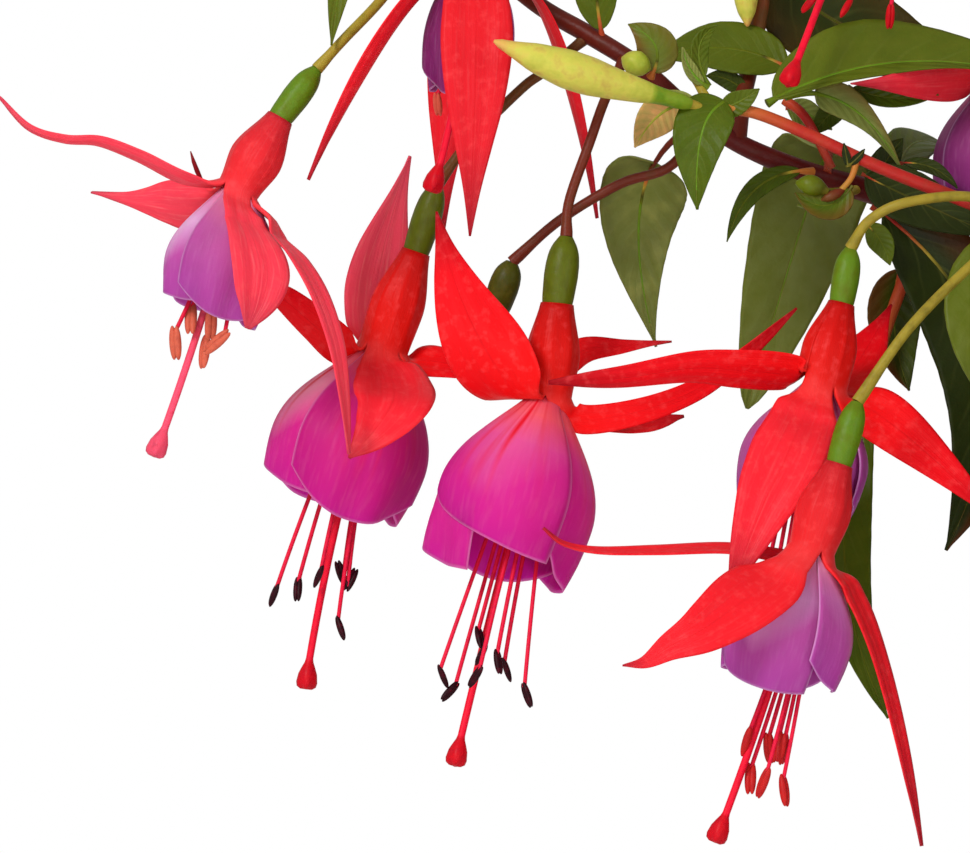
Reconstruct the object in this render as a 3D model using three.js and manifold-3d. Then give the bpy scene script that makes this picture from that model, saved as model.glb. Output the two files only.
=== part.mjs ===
// A trailing fuchsia in bloom, planted in a plain moulded hanging basket.
// Units are millimetres, +Z is up, and the origin is where the hook rests on its bracket.
import * as THREE from "three";
import { mergeVertices } from "three/addons/utils/BufferGeometryUtils.js";
import Module from "manifold-3d";

const wasm = await Module();
wasm.setup();

// Driving dimensions of the basket and its hanger
const FIT = 0.3; // clearance between pieces that touch
const SLIVER = 0.05; // edges shorter than this are closed up where pieces join
const POT = { rimZ: -330, height: 125, rimR: 100, footR: 70, wall: 2.2, floor: 2.6, sides: 28 };
const BAND = { height: 12, step: 2.4 };
const DRAIN = { count: 4, ring: 38, r: 4 };
const LUG = { fromR: 95, toR: 116, width: 15, thick: 4, drop: 3, azimuths: [30, 150, 270] };
const SOIL = { below: 12, stemRing: 42, rootDepth: 8 };
const HOOK = { innerR: 14, wireR: 2, shankZ: -58, from: -78, to: 205 };
const CROWN = { z: -66, r: 7, height: 12, sides: 14 };
const ARM = { wireR: 1.3, topR: 4, topZ: -67, bottomR: 108, beadR: 3, sides: 6 };

// Driving dimensions of a flower
const TUBE = { length: 14.5, topR: 2.7, bellyR: 4.5, endR: 3.7 };
const OVARY = { length: 10, r: 2.9 };
const PEDICEL_R = 1;
const BELL = { neckR: 2.9, halfSpan: 46, skew: 0.9, thick: 1, lip: 0.16 };
const SEPAL = { thick: 1.1, keel: 0.12, margin: 3.6 };
const STAMEN = { r: 0.42, antherR: 0.95, antherLength: 4.2 };
const STYLE = { r: 0.75, stigmaR: 1.5, stigmaLength: 5.2 };
const LEAF = { thick: 1, petiole: 0.12, fold: 0.22 };

const UP = new THREE.Vector3(0, 0, 1);
const DOWN = new THREE.Vector3(0, 0, -1);
const SOIL_TOP = POT.rimZ - SOIL.below;
const POT_BASE = POT.rimZ - POT.height;

const radians = THREE.MathUtils.degToRad;
const vec = (p) => new THREE.Vector3(...p);
const moved = (p, ...steps) => steps.reduce((q, [way, d]) => q.addScaledVector(way, d), p.clone());
const heading = (degrees) => new THREE.Vector3(Math.cos(radians(degrees)), Math.sin(radians(degrees)), 0);

// Repeatable scatter: the same number always gives the same value between 0 and 1
function scatter(n) {
  const x = Math.sin(n * 12.9898 + 4.1414) * 43758.5453;
  return x - Math.floor(x);
}

// Solids

function solidOf(positions, triangles) {
  const kept = triangles.filter(([a, b, c]) => a !== b && b !== c && c !== a);
  const build = (list) => {
    const vertProperties = new Float32Array(positions.flat());
    const triVerts = new Uint32Array(list.flat());
    return new wasm.Manifold(new wasm.Mesh({ numProp: 3, vertProperties, triVerts }));
  };
  const made = build(kept);
  return made.volume() > 0 ? made : build(kept.map(([a, b, c]) => [a, c, b]));
}

function solidFromGeometry(geometry) {
  const bare = geometry.clone();
  for (const name of ["normal", "uv"]) bare.deleteAttribute(name);
  const merged = mergeVertices(bare, 1e-4);
  const { position } = merged.attributes;
  const place = (_, i) => [position.getX(i), position.getY(i), position.getZ(i)];
  const positions = Array.from({ length: position.count }, place);
  const corners = Array.from(merged.index.array);
  const triangles = Array.from({ length: corners.length / 3 }, (_, i) => corners.slice(3 * i, 3 * i + 3));
  return solidOf(positions, triangles);
}

function geometryOf(solid) {
  const mesh = solid.simplify(SLIVER).getMesh();
  const geometry = new THREE.BufferGeometry();
  geometry.setAttribute("position", new THREE.BufferAttribute(new Float32Array(mesh.vertProperties), 3));
  geometry.setIndex(new THREE.BufferAttribute(new Uint32Array(mesh.triVerts), 1));
  return geometry;
}

const join = (solids) => wasm.Manifold.union(solids);

// A body turned about the vertical axis from [radius, height] pairs
function turned(profile, sides) {
  const outline = profile.map(([r, z]) => new THREE.Vector2(r, z));
  return solidFromGeometry(new THREE.LatheGeometry(outline, sides).rotateX(Math.PI / 2));
}

function tangentsOf(points) {
  return points.map((p, i) => {
    const next = points[Math.min(i + 1, points.length - 1)];
    return next.clone().sub(points[Math.max(i - 1, 0)]).normalize();
  });
}

// Sideways directions that follow a path without twisting
function carried(tangents, first) {
  let side = first;
  return tangents.map((t) => {
    side = side.clone().addScaledVector(t, -side.dot(t)).normalize();
    return side;
  });
}

// A round bar or stalk through points, with a radius at each of them
function stalk(points, radii, sides) {
  const tangents = tangentsOf(points);
  const first = Math.abs(tangents[0].z) > 0.9 ? new THREE.Vector3(1, 0, 0) : UP;
  const across = carried(tangents, new THREE.Vector3().crossVectors(tangents[0], first));
  const positions = [];
  const triangles = [];
  points.forEach((p, i) => {
    const other = new THREE.Vector3().crossVectors(tangents[i], across[i]);
    for (let k = 0; k < sides; k++) {
      const a = (2 * Math.PI * k) / sides;
      const corner = moved(p, [across[i], radii[i] * Math.cos(a)], [other, radii[i] * Math.sin(a)]);
      positions.push(corner.toArray());
    }
  });
  for (let i = 0; i + 1 < points.length; i++)
    for (let k = 0; k < sides; k++) {
      const a = i * sides + k;
      const b = i * sides + ((k + 1) % sides);
      triangles.push([a, b, b + sides], [a, b + sides, a + sides]);
    }
  const end = (points.length - 1) * sides;
  for (let k = 1; k + 1 < sides; k++) triangles.push([0, k + 1, k], [end, end + k, end + k + 1]);
  return solidOf(positions, triangles);
}

const smooth = (points) => new THREE.CatmullRomCurve3(points, false, "catmullrom", 0.5);
const arch = (from, through, to) => new THREE.QuadraticBezierCurve3(from, through, to);
const sampled = (curve, steps) => Array.from({ length: steps + 1 }, (_, i) => curve.getPoint(i / steps));
const tapered = (from, to, steps) =>
  Array.from({ length: steps + 1 }, (_, i) => THREE.MathUtils.lerp(from, to, i / steps));

// A thin curved sheet: rows of middle points with a thickness at each. Where that is 0 the two faces meet.
// A closed one joins the end of each row to its start
function sheet(rows, normals, thickness, closed = false) {
  const positions = [];
  const place = (p) => positions.push(p.toArray()) - 1;
  const front = rows.map(() => []);
  const back = rows.map(() => []);
  rows.forEach((row, i) =>
    row.forEach((p, j) => {
      const same = j > 0 && p.distanceTo(row[j - 1]) < 1e-6;
      const half = thickness[i][j] / 2;
      front[i].push(same ? front[i][j - 1] : place(moved(p, [normals[i][j], half])));
      if (same) back[i].push(back[i][j - 1]);
      else back[i].push(half === 0 ? front[i][j] : place(moved(p, [normals[i][j], -half])));
    }),
  );
  const triangles = [];
  const last = rows.length - 1;
  const columns = rows[0].length;
  const middle = (columns - 1) / 2;
  for (let j = 0; j < (closed ? columns : columns - 1); j++) {
    const k = (j + 1) % columns;
    for (let i = 0; i < last; i++) {
      const quad = (g) => [g[i][j], g[i][k], g[i + 1][k], g[i + 1][j]];
      const split = ([a, b, c, d]) => (j < middle ? [[a, b, c], [a, c, d]] : [[b, c, d], [b, d, a]]);
      triangles.push(...split(quad(front)), ...split(quad(back)).map(([a, b, c]) => [a, c, b]));
    }
    for (const [i, a, b] of [[0, k, j], [last, j, k]]) {
      triangles.push([front[i][a], front[i][b], back[i][b]], [front[i][a], back[i][b], back[i][a]]);
    }
  }
  return solidOf(positions, triangles);
}

// A pointed blade along a spine. across is its sideways direction at the base, roll its turn by the tip,
// and keel how far its middle line sinks as a share of its half width
function bladeSolid({ spine, stations, halfWidth, thick, across, roll = 0, keel = 0 }) {
  const points = stations.map(spine);
  const near = 0.02;
  const slope = (s) => spine(Math.min(1, s + near)).sub(spine(Math.max(0, s - near))).normalize();
  const tangents = stations.map(slope);
  const sides = carried(tangents, across);
  const tip = stations.length - 1;
  const rows = [];
  const normals = [];
  stations.forEach((s, i) => {
    const w = sides[i].clone().applyAxisAngle(tangents[i], radians(roll) * s * (2 - s));
    const n = new THREE.Vector3().crossVectors(w, tangents[i]).normalize();
    const half = i === tip ? 0 : halfWidth(s);
    const at = (side, depth) => moved(points[i], [w, side * half], [n, -depth * half]);
    rows.push([at(-1, 0), at(0, keel), at(1, 0)]);
    normals.push([n, n, n]);
  });
  return sheet(rows, normals, stations.map((_, i) => [0, i === tip ? 0 : thick, 0]));
}

// Leaves: a short stalk, then a pointed oval folded along its midrib

function leafOutline(s, petiole) {
  const u = Math.max(0, (s - petiole) / (1 - petiole));
  return Math.max(0.08, 2.815 * Math.pow(u, 0.6) * Math.pow(1 - u, 0.95));
}

function leafSolid({ base, mid, tip, width, face, petiole = LEAF.petiole, plain = false }) {
  const curve = arch(base, mid, tip);
  const blade = (s) => petiole + s * (1 - petiole);
  return bladeSolid({
    spine: (s) => curve.getPoint(s),
    across: new THREE.Vector3().crossVectors(curve.getTangent(0.4), face).normalize(),
    keel: LEAF.fold,
    stations: plain ? [0, blade(0.24), blade(0.64), 1] : [0, petiole, blade(0.3), blade(0.68), 1],
    halfWidth: (s) => (width / 2) * leafOutline(s, petiole),
    thick: LEAF.thick,
  });
}

// Flowers

// Directions round a flower's axis: 0 is to the right, 90 to the back
function compass(axis) {
  const right = new THREE.Vector3(1, 0, 0).addScaledVector(axis, -axis.x).normalize();
  const back = new THREE.Vector3().crossVectors(right, axis).normalize();
  return (degrees) => {
    const a = radians(degrees);
    return moved(new THREE.Vector3(), [right, Math.cos(a)], [back, Math.sin(a)]);
  };
}

// Radius of the bell of petals at a share of the way down from the collar to its mouth
function bellRadius(way, mouthR) {
  const swell = Math.pow(Math.sin((Math.PI / 2) * Math.min(1, way / 0.6)), 1.15);
  const pinch = 0.14 * mouthR * Math.pow(Math.max(0, way - 0.6) / 0.4, 1.6);
  return BELL.neckR + (mouthR - BELL.neckR) * swell - pinch;
}

// Moves a point of a sepal outward until it clears the bell of petals
function clearOfBell(p, { throat, mouth, petalR }) {
  const length = mouth.distanceTo(throat);
  const down = mouth.clone().sub(throat).normalize();
  const depth = p.clone().sub(throat).dot(down);
  const onAxis = moved(throat, [down, depth]);
  const away = p.clone().sub(onAxis);
  const { smoothstep } = THREE.MathUtils;
  const fade = smoothstep(depth, -1, 4) * (1 - smoothstep(depth, length + 2, length + 12));
  const need = (bellRadius(THREE.MathUtils.clamp(depth / length, 0, 1), petalR) + SEPAL.margin) * fade;
  return away.length() < need ? moved(onAxis, [away.normalize(), need]) : p;
}

const sepalOutline = (s) => ((0.42 + 3.4 * s) * Math.pow(1 - s, 1.35)) / 0.9;

// A sepal as rows across it, each row as [one edge, outer middle, inner middle, other edge]
function sepalRows(flower, axis, radial, { mid, tip, width, roll }) {
  const curve = arch(moved(flower.throat, [radial, TUBE.endR - SEPAL.thick / 2]), mid, tip);
  const spine = (s) => clearOfBell(curve.getPoint(s), flower);
  const stations = flower.plain ? [0.3, 0.66] : [0.2, 0.45, 0.72];
  const near = 0.02;
  const tangents = stations.map((s) => spine(s + near).sub(spine(s - near)).normalize());
  const sides = carried(tangents, new THREE.Vector3().crossVectors(radial, axis));
  return stations.map((s, i) => {
    const w = sides[i].clone().applyAxisAngle(tangents[i], radians(roll) * s * (2 - s));
    const n = new THREE.Vector3().crossVectors(tangents[i], w).normalize();
    const half = (width / 2) * sepalOutline(s);
    const middle = moved(spine(s), [n, -SEPAL.keel * half]);
    const faces = [0.5, -0.5].map((share) => moved(middle, [n, share * SEPAL.thick]));
    return [moved(spine(s), [w, -half]), ...faces, moved(spine(s), [w, half])];
  });
}

// Tube and sepals in one skin: the tube's rim has eight corners, one on each sepal and one between each two
function cupSolid(flower) {
  const { start, throat } = flower;
  const axis = throat.clone().sub(start).normalize();
  const round = compass(axis);
  const wrapped = (side) => THREE.MathUtils.euclideanModulo(side, 360);
  const sepals = flower.sepals.map((sepal) => ({ ...sepal, side: wrapped(sepal.side) }));
  sepals.sort((a, b) => a.side - b.side);
  const between = sepals.map(({ side }, k) => (side + (sepals[k + 1]?.side ?? sepals[0].side + 360)) / 2);
  const directions = sepals.flatMap(({ side }, k) => [round(side), round(between[k])]);
  const positions = [];
  const triangles = [];
  const place = (p) => positions.push(p.toArray()) - 1;
  const quad = (a, b, c, d) => triangles.push([a, b, c], [a, c, d]);
  const top = moved(start, [axis, FIT]);
  const belly = start.clone().lerp(throat, 0.6);
  const levels = [[top, TUBE.topR], [belly, TUBE.bellyR], [throat, TUBE.endR]];
  const rings = levels.map(([centre, r]) => directions.map((d) => place(moved(centre, [d, r]))));
  for (let j = 0; j < 8; j++) {
    const k = (j + 1) % 8;
    for (const i of [0, 1]) quad(rings[i][j], rings[i][k], rings[i + 1][k], rings[i + 1][j]);
    if (j > 0 && j < 7) triangles.push([rings[0][0], rings[0][k], rings[0][j]]);
  }
  const rim = rings[2];
  const mouth = sepals.flatMap((sepal, k) => {
    const radial = directions[2 * k];
    const inner = place(moved(throat, [radial, TUBE.endR - SEPAL.thick]));
    const rows = sepalRows(flower, axis, radial, sepal).map((row) => row.map(place));
    const tip = place(sepal.tip);
    const all = [[rim[(2 * k + 7) % 8], rim[2 * k], inner, rim[2 * k + 1]], ...rows, [tip, tip, tip, tip]];
    for (let i = 0; i + 1 < all.length; i++) {
      const [a, b] = [all[i], all[i + 1]];
      quad(a[0], a[1], b[1], b[0]);
      quad(a[1], a[3], b[3], b[1]);
      quad(a[2], a[0], b[0], b[2]);
      quad(a[3], a[2], b[2], b[3]);
    }
    return [inner, rim[2 * k + 1]];
  });
  for (let j = 1; j < 7; j++) triangles.push([mouth[0], mouth[j], mouth[j + 1]]);
  return solidOf(positions, triangles);
}

// Filaments with their anthers, spread round the style
function stamenSolids({ mouth, stigma, stamenReach, seed, plain }, root, round) {
  const reach = stigma.clone().sub(mouth);
  const count = plain ? 3 : 4;
  return Array.from({ length: count }, (_, k) => {
    const spread = round((360 * (k + 0.5)) / count + 30 * scatter(seed + k));
    const share = stamenReach * (0.8 + 0.4 * scatter(seed + 7 * k + 3));
    const from = moved(root, [spread, 1.55]);
    const end = moved(mouth, [reach, share], [spread, 2.8 + 2.4 * scatter(seed + 5 * k)]);
    const along = end.clone().sub(from).normalize();
    const lean = moved(along, [spread, 0.7 * (scatter(seed + 11 * k) - 0.3)]).normalize();
    const anther = [0.4, 1].map((s) => moved(end, [lean, s * STAMEN.antherLength]));
    return stalk([from, end, ...anther], [STAMEN.r, STAMEN.r, STAMEN.antherR, STAMEN.antherR * 0.35], 3);
  });
}

// The red part: tube, four sepals, stamens and style
function calyxSolid(flower) {
  const { throat, mouth, stigma, plain } = flower;
  const down = mouth.clone().sub(throat).normalize();
  const root = moved(throat, [down, -1.2]);
  const styleEnd = moved(stigma, [stigma.clone().sub(mouth).normalize(), -STYLE.stigmaLength]);
  const styleSteps = plain ? 2 : 3;
  const style = sampled(arch(root, mouth, styleEnd), styleSteps);
  const club = [0.35, 1].map((k) => styleEnd.clone().lerp(stigma, k));
  const radii = [...tapered(STYLE.r, STYLE.r, styleSteps), STYLE.stigmaR, STYLE.stigmaR * 0.8];
  return join([
    cupSolid(flower),
    stalk([...style, ...club], radii, 4),
    ...stamenSolids(flower, root, compass(down)),
  ]);
}

// The purple part in one skin: four petals, each ending in a step over the next
function corollaSolid({ start, throat, mouth, petalR, turn, plain }) {
  const axis = throat.clone().sub(start).normalize();
  const down = mouth.clone().sub(throat).normalize();
  const lead = 2 * FIT + TUBE.endR * Math.sin(axis.angleTo(down));
  const length = mouth.distanceTo(throat) - lead;
  const round = compass(down);
  const levels = plain ? [0, 0.4, 1] : [0, 0.26, 0.6, 1];
  const lines = plain ? [-0.9, 0.06, 1] : [-0.9, -0.28, 0.36, 1];
  const petal = (quarter) => lines.map((a) => [a, round(turn + quarter + BELL.halfSpan * a)]);
  const columns = [0, 90, 180, 270].flatMap(petal);
  const rows = levels.map((s) => columns.map(([a, outward]) => {
    const way = s * (1 - BELL.lip * a * a);
    const radius = bellRadius(way, petalR) + BELL.skew * a * Math.min(1, way * 4);
    return moved(throat, [down, lead + way * length], [outward, radius]);
  }));
  const normals = levels.map(() => columns.map(([, outward]) => outward));
  return sheet(rows, normals, levels.map((s) => columns.map(() => (s === 1 ? 0 : BELL.thick))), true);
}

// A pedicel with the ovary that carries the flower
function pedicelSolid(path, ovaryEnd, ovaryR = OVARY.r) {
  const top = path[path.length - 1];
  const steps = path.length - 1;
  const ovary = [0.2, 0.7, 1].map((s) => top.clone().lerp(ovaryEnd, s));
  const radii = [...tapered(PEDICEL_R, PEDICEL_R, steps), ovaryR * 0.8, ovaryR, ovaryR * 0.86];
  return stalk([...sampled(smooth(path), steps), ...ovary], radii, 4);
}

// A closed bud with its pedicel and ovary
function budSolid(path, ovaryEnd, tip, fatness) {
  const top = path[path.length - 1];
  const steps = path.length - 1;
  const ovary = [0.4, 1].map((s) => top.clone().lerp(ovaryEnd, s));
  const swell = [0.18, 0.45, 0.75, 1].map((s) => ovaryEnd.clone().lerp(tip, s));
  const shares = [0.55, 0.5, 0.72, 1, 0.72, 0.1];
  const radii = [...tapered(PEDICEL_R, PEDICEL_R * 0.9, steps), ...shares.map((share) => fatness * share)];
  return stalk([...sampled(smooth(path), steps), ...ovary, ...swell], radii, 5);
}

// The spray over the basket's left side. Its places are in millimetres from its own middle, which is here
const SPRAY_MIDDLE = [-190, 0, -345];
const inSpray = (p) => vec(p).add(vec(SPRAY_MIDDLE));

const SPRAY_ROOT = [145, 0, -5];
const SPRAY_STEMS = [
  {
    radii: [3.2, 1],
    path: [
      [145, 0, 8], [140, 1, 17], [119.5, 3, 25], [93, 6, 31.5], [74.5, 8, 36.5], [62.5, 7, 40],
      [52.5, 6, 43], [42, 5, 47.5], [34, 5, 53], [26, 6, 60], [17.5, 9, 65.5], [8.5, 13, 71],
      [-1, 15, 79.5], [-7.5, 15, 89.5], [-11, 13, 100.5], [-10, 10, 110.5],
    ],
  },
  {
    radii: [1.5, 0.7],
    path: [
      [112, 2, 27.5], [95.5, -8, 31], [80.5, -10, 37], [65.5, -9, 43], [52.5, -8, 49], [45, -8, 52],
      [38, -8, 53.5], [35, -6, 57.5],
    ],
  },
  {
    radii: [1.7, 0.9],
    path: [
      [42, 5, 47.5], [43, 9, 54.5], [45, 13, 63], [48.5, 16, 81.5], [55.5, 17, 103.5], [63, 17, 125.5],
      [67, 16, 142],
    ],
  },
  {
    radii: [1.6, 0.9],
    path: [[93, 6, 31.5], [100, 14, 40], [103, 24, 54], [100, 30, 70], [95, 30, 86], [88, 25, 97]],
  },
  { radii: [1.3, 0.9], path: [[74.5, 8, 36.5], [72, 16, 29], [68, 17, 18], [65, 12, 8]] },
];

// Each flower: pedicel, end of ovary, end of tube, mouth of the bell, tip of the style,
// and its sepals as [side it leaves on, pull of its curve, tip, width, roll]
const SPRAY_FLOWERS = [
  {
    name: "bloom_top",
    pedicel: [[-10, 10, 110.5], [-5, 6, 115], [1, 0, 112], [3.5, -3, 103]],
    start: [2.5, -3, 92.5], throat: [-0.5, -4, 78], mouth: [-2.5, -2, 55.5], stigma: [-9, -3, 39],
    petalR: 10.5, turn: 20, stamenReach: 0.35,
    sepals: [
      [190, [-12, -10, 71], [-29.5, -9, 41], 10, 20], [350, [13, 4, 76], [19, 13, 35], 8, -10],
      [270, [-1, -20, 62], [-2.5, -13, 31.5], 12, 0], [95, [-6, 22, 64], [-7, 19, 32], 10, 0],
    ],
  },
  {
    name: "bloom_left",
    pedicel: [[-6.5, 15, 88], [-12.5, 9, 78], [-17.5, 3, 71], [-23.5, -1, 64.5], [-28, -2, 59.5]],
    start: [-34, -3, 51.5], throat: [-41, -4, 39.5], mouth: [-46, -5, 18], stigma: [-55, -8, -5],
    petalR: 9.2, turn: 60, stamenReach: 0.25,
    sepals: [
      [175, [-57, -7, 47], [-80.5, -10, 55], 10, 25], [105, [-53, 8, 43], [-65.5, 16, 39], 13, 30],
      [285, [-30.5, -20, 33], [-38, -22, 16], 14, 0], [345, [-26, -10, 28], [-22.5, -16, -4], 10, 40],
    ],
  },
  {
    name: "bloom_second",
    pedicel: [[17.5, 9, 65.5], [10, 10, 59.5], [6, 11, 56.5], [-2.5, 13, 48], [-8, 12, 40.5]],
    start: [-11.5, 13, 29.5], throat: [-16.5, 13, 13.5], mouth: [-25, 12, -15], stigma: [-30, 10, -44],
    petalR: 13, turn: 250, stamenReach: 0.5,
    sepals: [
      [95, [-20, 26, 22], [-12.5, 22, 45.5], 13, 0], [190, [-26, 14, 18], [-37, 16, 23], 10, 50],
      [350, [-7, 12, 11], [3, 11, 9], 9, 50], [270, [-17, -10, 10], [-22.5, -9, -5], 15, 0],
    ],
  },
  {
    name: "bloom_centre",
    pedicel: [[23.5, 7, 62], [20, -3, 54.5], [17.5, -5, 47.5], [14, -6, 37.5], [13.5, -7, 31.5]],
    start: [12, -8, 20.5], throat: [10.5, -9, 5], mouth: [2, -14, -24.5], stigma: [-5, -20, -56],
    petalR: 12.8, turn: 285, stamenReach: 0.55,
    sepals: [
      [215, [-2, -18, 13.5], [-8, -15, 35.5], 16, 65], [310, [34, -8, -2], [52, -3, 20], 10, 30],
      [125, [18, 3, 14.5], [31, 5, 14.5], 8, 20], [40, [24, 8, 0], [33, 9, 2], 8, 30],
    ],
  },
  {
    name: "bloom_right",
    pedicel: [[87, -9, 34.5], [80.5, -14, 38], [69.5, -16, 37], [63.5, -15, 34], [60.5, -14, 29.5]],
    start: [59, -15, 20.5], throat: [55.5, -16.5, 7], mouth: [51, -15.5, -14.5], stigma: [48, -11, -43.5],
    petalR: 10.3, turn: 30, stamenReach: 0.5,
    sepals: [
      [195, [34, -24, 14], [10.5, -27, 7.5], 11, 35], [265, [45.5, -39, -2], [39, -35, -30.5], 14, 0],
      [335, [67, -22, 2], [87.5, -20, -18], 11, 45], [60, [62, 0, 9.5], [68, 8, 20.5], 12, 0],
    ],
  },
  {
    name: "bloom_low",
    pedicel: [[99.5, -6, 29.5], [88.5, -20, 33], [80, -26, 26.5], [69.5, -31, 16], [61, -34, 4]],
    start: [58, -35, -6], throat: [53.5, -36, -20], mouth: [47.5, -36, -43.5], stigma: [37.5, -38, -68],
    petalR: 10.3, turn: 100, stamenReach: 0.5,
    sepals: [
      [140, [38, -23, -18.5], [10, -28, -17], 7, 10], [240, [41.5, -50, -28.5], [23.5, -50, -39], 13, 30],
      [350, [65, -38, -28.5], [71.5, -40, -68.5], 10, 20], [80, [56, -19, -26], [56, -21, -42], 10, 0],
    ],
  },
  {
    name: "bloom_edge",
    pedicel: [[88, 25, 97], [89, 24, 100.5], [90.5, 21, 93.5], [89.5, 19, 83.5]],
    start: [89, 18, 73.5], throat: [87, 17.5, 59], mouth: [85.5, 18, 35.5], stigma: [83.5, 20, 4.5],
    petalR: 10.3, turn: 10, stamenReach: 0.45,
    sepals: [
      [185, [74.5, 16, 57.5], [62, 12, 57.5], 9, 30], [270, [88, -4, 51], [95, -2, 36], 12, 0],
      [0, [101, 17, 58], [116, 17, 61.5], 11, 0], [90, [88, 38, 58], [86, 46, 76], 12, 0],
    ],
  },
  {
    name: "bloom_high",
    pedicel: [[67, 16, 142], [73, 14, 150.5], [78, 13, 149.5], [79, 12, 143]],
    start: [77, 11, 132.5], throat: [73, 10, 118.5], mouth: [63.5, 6, 89], stigma: [50.5, 2, 56.5],
    petalR: 12.8, turn: 70, stamenReach: 0.6,
    sepals: [
      [200, [56, 4, 124], [40, 2, 136], 13, 20], [290, [80, -14, 121], [84, -28, 131], 13, 0],
      [10, [90, 14, 116], [110, 16, 122], 12, 0], [110, [68, 28, 118], [62, 46, 128], 13, 0],
    ],
  },
];

// A flower that has dropped its petals, and two closed buds
const SPRAY_BERRY = {
  path: [[36.5, 4, 51], [31, 4, 43.5], [22.5, 5, 40.5], [12.5, 6, 34.5], [4.5, 7, 27.5]],
  end: [2, 8, 20],
};
const SPRAY_BUDS = [
  {
    path: [[41.5, -8, 52], [37, -8.5, 52.5], [34, -10, 53.5]],
    end: [28, -13, 55], tip: [1.5, -23, 63.5], fatness: 3.3,
  },
  {
    path: [[48.5, 16, 81.5], [46, 12, 87], [44, 12, 84]],
    end: [43.5, 12, 78], tip: [44, 11, 67], fatness: 2,
  },
];

// Each leaf: base, pull of its curve, tip, width, the way its face looks, length of its stalk as a share
const SPRAY_LEAVES = [
  [[37, 5, 51], [21, 18, 46], [28.5, 20, 13], 13.5, [0, -1, 0.1], 0.25],
  [[39.5, -8, 53], [36, -14, 49], [35, -12, 36.5], 9.5, [0, -1, 0], 0.08],
  [[38.5, -8, 52.5], [41.5, -10, 53], [45.5, -10, 56], 4, [0, -1, 0], 0.1],
  [[57, 7, 42], [52, 22, 60], [44, 22, 3], 17, [0.2, -1, 0], 0.15],
  [[47, -8, 51.5], [60.5, -16, 69], [87.5, -14, 56.5], 12.5, [0, -1, 0.5], 0.06],
  [[43.5, 10, 57], [38, 8, 67], [26, 8, 63], 9, [0, -1, 0.4], 0.12],
  [[26, 6, 60], [26, -6, 62.5], [26.5, -2, 68], 7.5, [0, -1, 0], 0.1],
  [[49, 16, 83], [63, 26, 78.5], [78.5, 24, 62], 17, [0, -1, 0.3], 0.1],
  [[54.5, -8, 48.5], [58.5, 0, 61], [69.5, -2, 43], 6.5, [-0.3, -1, 0], 0.1],
  [[68.5, 8, 38], [70.5, 29, 54.5], [80, 35, 46], 8, [0, -1, 0.2], 0.1],
  [[55, 6, 42.5], [43.5, -3, 43.5], [40.5, -4, 31], 4.5, [0.4, -1, 0.3], 0.1],
  [[84, 7, 34], [79.5, 2, 8], [77.5, 0, -20.5], 14, [0.1, -1, 0], 0.08],
  [[107.5, -1, 27.5], [85, -16, 23.5], [73, -14, 13.5], 16, [0, -1, 0.3], 0.1],
  [[70, 17, 23], [64.5, 21, 26], [68.5, 18, -2.5], 10, [0, -1, 0], 0.1],
  [[65, 12, 8], [54, 2, -22], [67, -4, -48.5], 9, [0, -1, 0], 0.05],
  [[20, 8, 63.5], [16.5, 2, 77.5], [21, 2, 92.5], 8, [0, -1, 0], 0.1],
  [[-11, 12.5, 103], [-22.5, 6, 94.5], [-25.5, -4, 63.5], 8, [0, -1, 0.2], 0.1],
  [[33, 4, 54], [28.5, -2, 53], [25, -4, 46.5], 6.5, [0, -1, 0], 0.1],
  [[35.6, -6.4, 56.7], [31, -8, 59.5], [36, -9, 67], 3.5, [0, -1, 0], 0.1],
  [[35.6, -6.4, 56.7], [41, -4, 61], [39, -4, 67.5], 4, [0, -1, 0], 0.1],
  [[62, 7, 40], [58, -3, 35], [52, -4, 37], 4, [0, -0.3, 1], 0.1],
];

function sprayFlower(spec, index) {
  const places = ["start", "throat", "mouth", "stigma"];
  const at = Object.fromEntries(places.map((key) => [key, inSpray(spec[key])]));
  const sepals = spec.sepals.map(([side, mid, tip, width, roll]) => {
    return { side, mid: inSpray(mid), tip: inSpray(tip), width, roll };
  });
  return { ...spec, ...at, sepals, pedicel: spec.pedicel.map(inSpray), seed: 900 + 20 * index, plain: false };
}

function spraySolid(flowers) {
  const stems = SPRAY_STEMS.map(({ radii, path }) => {
    const steps = path.length - 1;
    return stalk(sampled(smooth(path.map(inSpray)), steps), tapered(...radii, steps), 5);
  });
  const root = inSpray(SPRAY_ROOT);
  const foot = inSpray(SPRAY_STEMS[0].path[0]);
  const footR = SPRAY_STEMS[0].radii[0];
  return join([
    ...stems,
    stalk([root, moved(foot, [UP, 1])], [footR, footR], 6),
    ...flowers.map(({ pedicel, start }) => pedicelSolid(pedicel, start)),
    pedicelSolid(SPRAY_BERRY.path.map(inSpray), inSpray(SPRAY_BERRY.end)),
    ...SPRAY_BUDS.map(({ path, end, tip, fatness }) =>
      budSolid(path.map(inSpray), inSpray(end), inSpray(tip), fatness),
    ),
    ...SPRAY_LEAVES.map(([base, mid, tip, width, face, petiole]) => {
      const at = { base: inSpray(base), mid: inSpray(mid), tip: inSpray(tip) };
      return leafSolid({ ...at, width, face: vec(face), petiole });
    }),
  ]);
}

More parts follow.
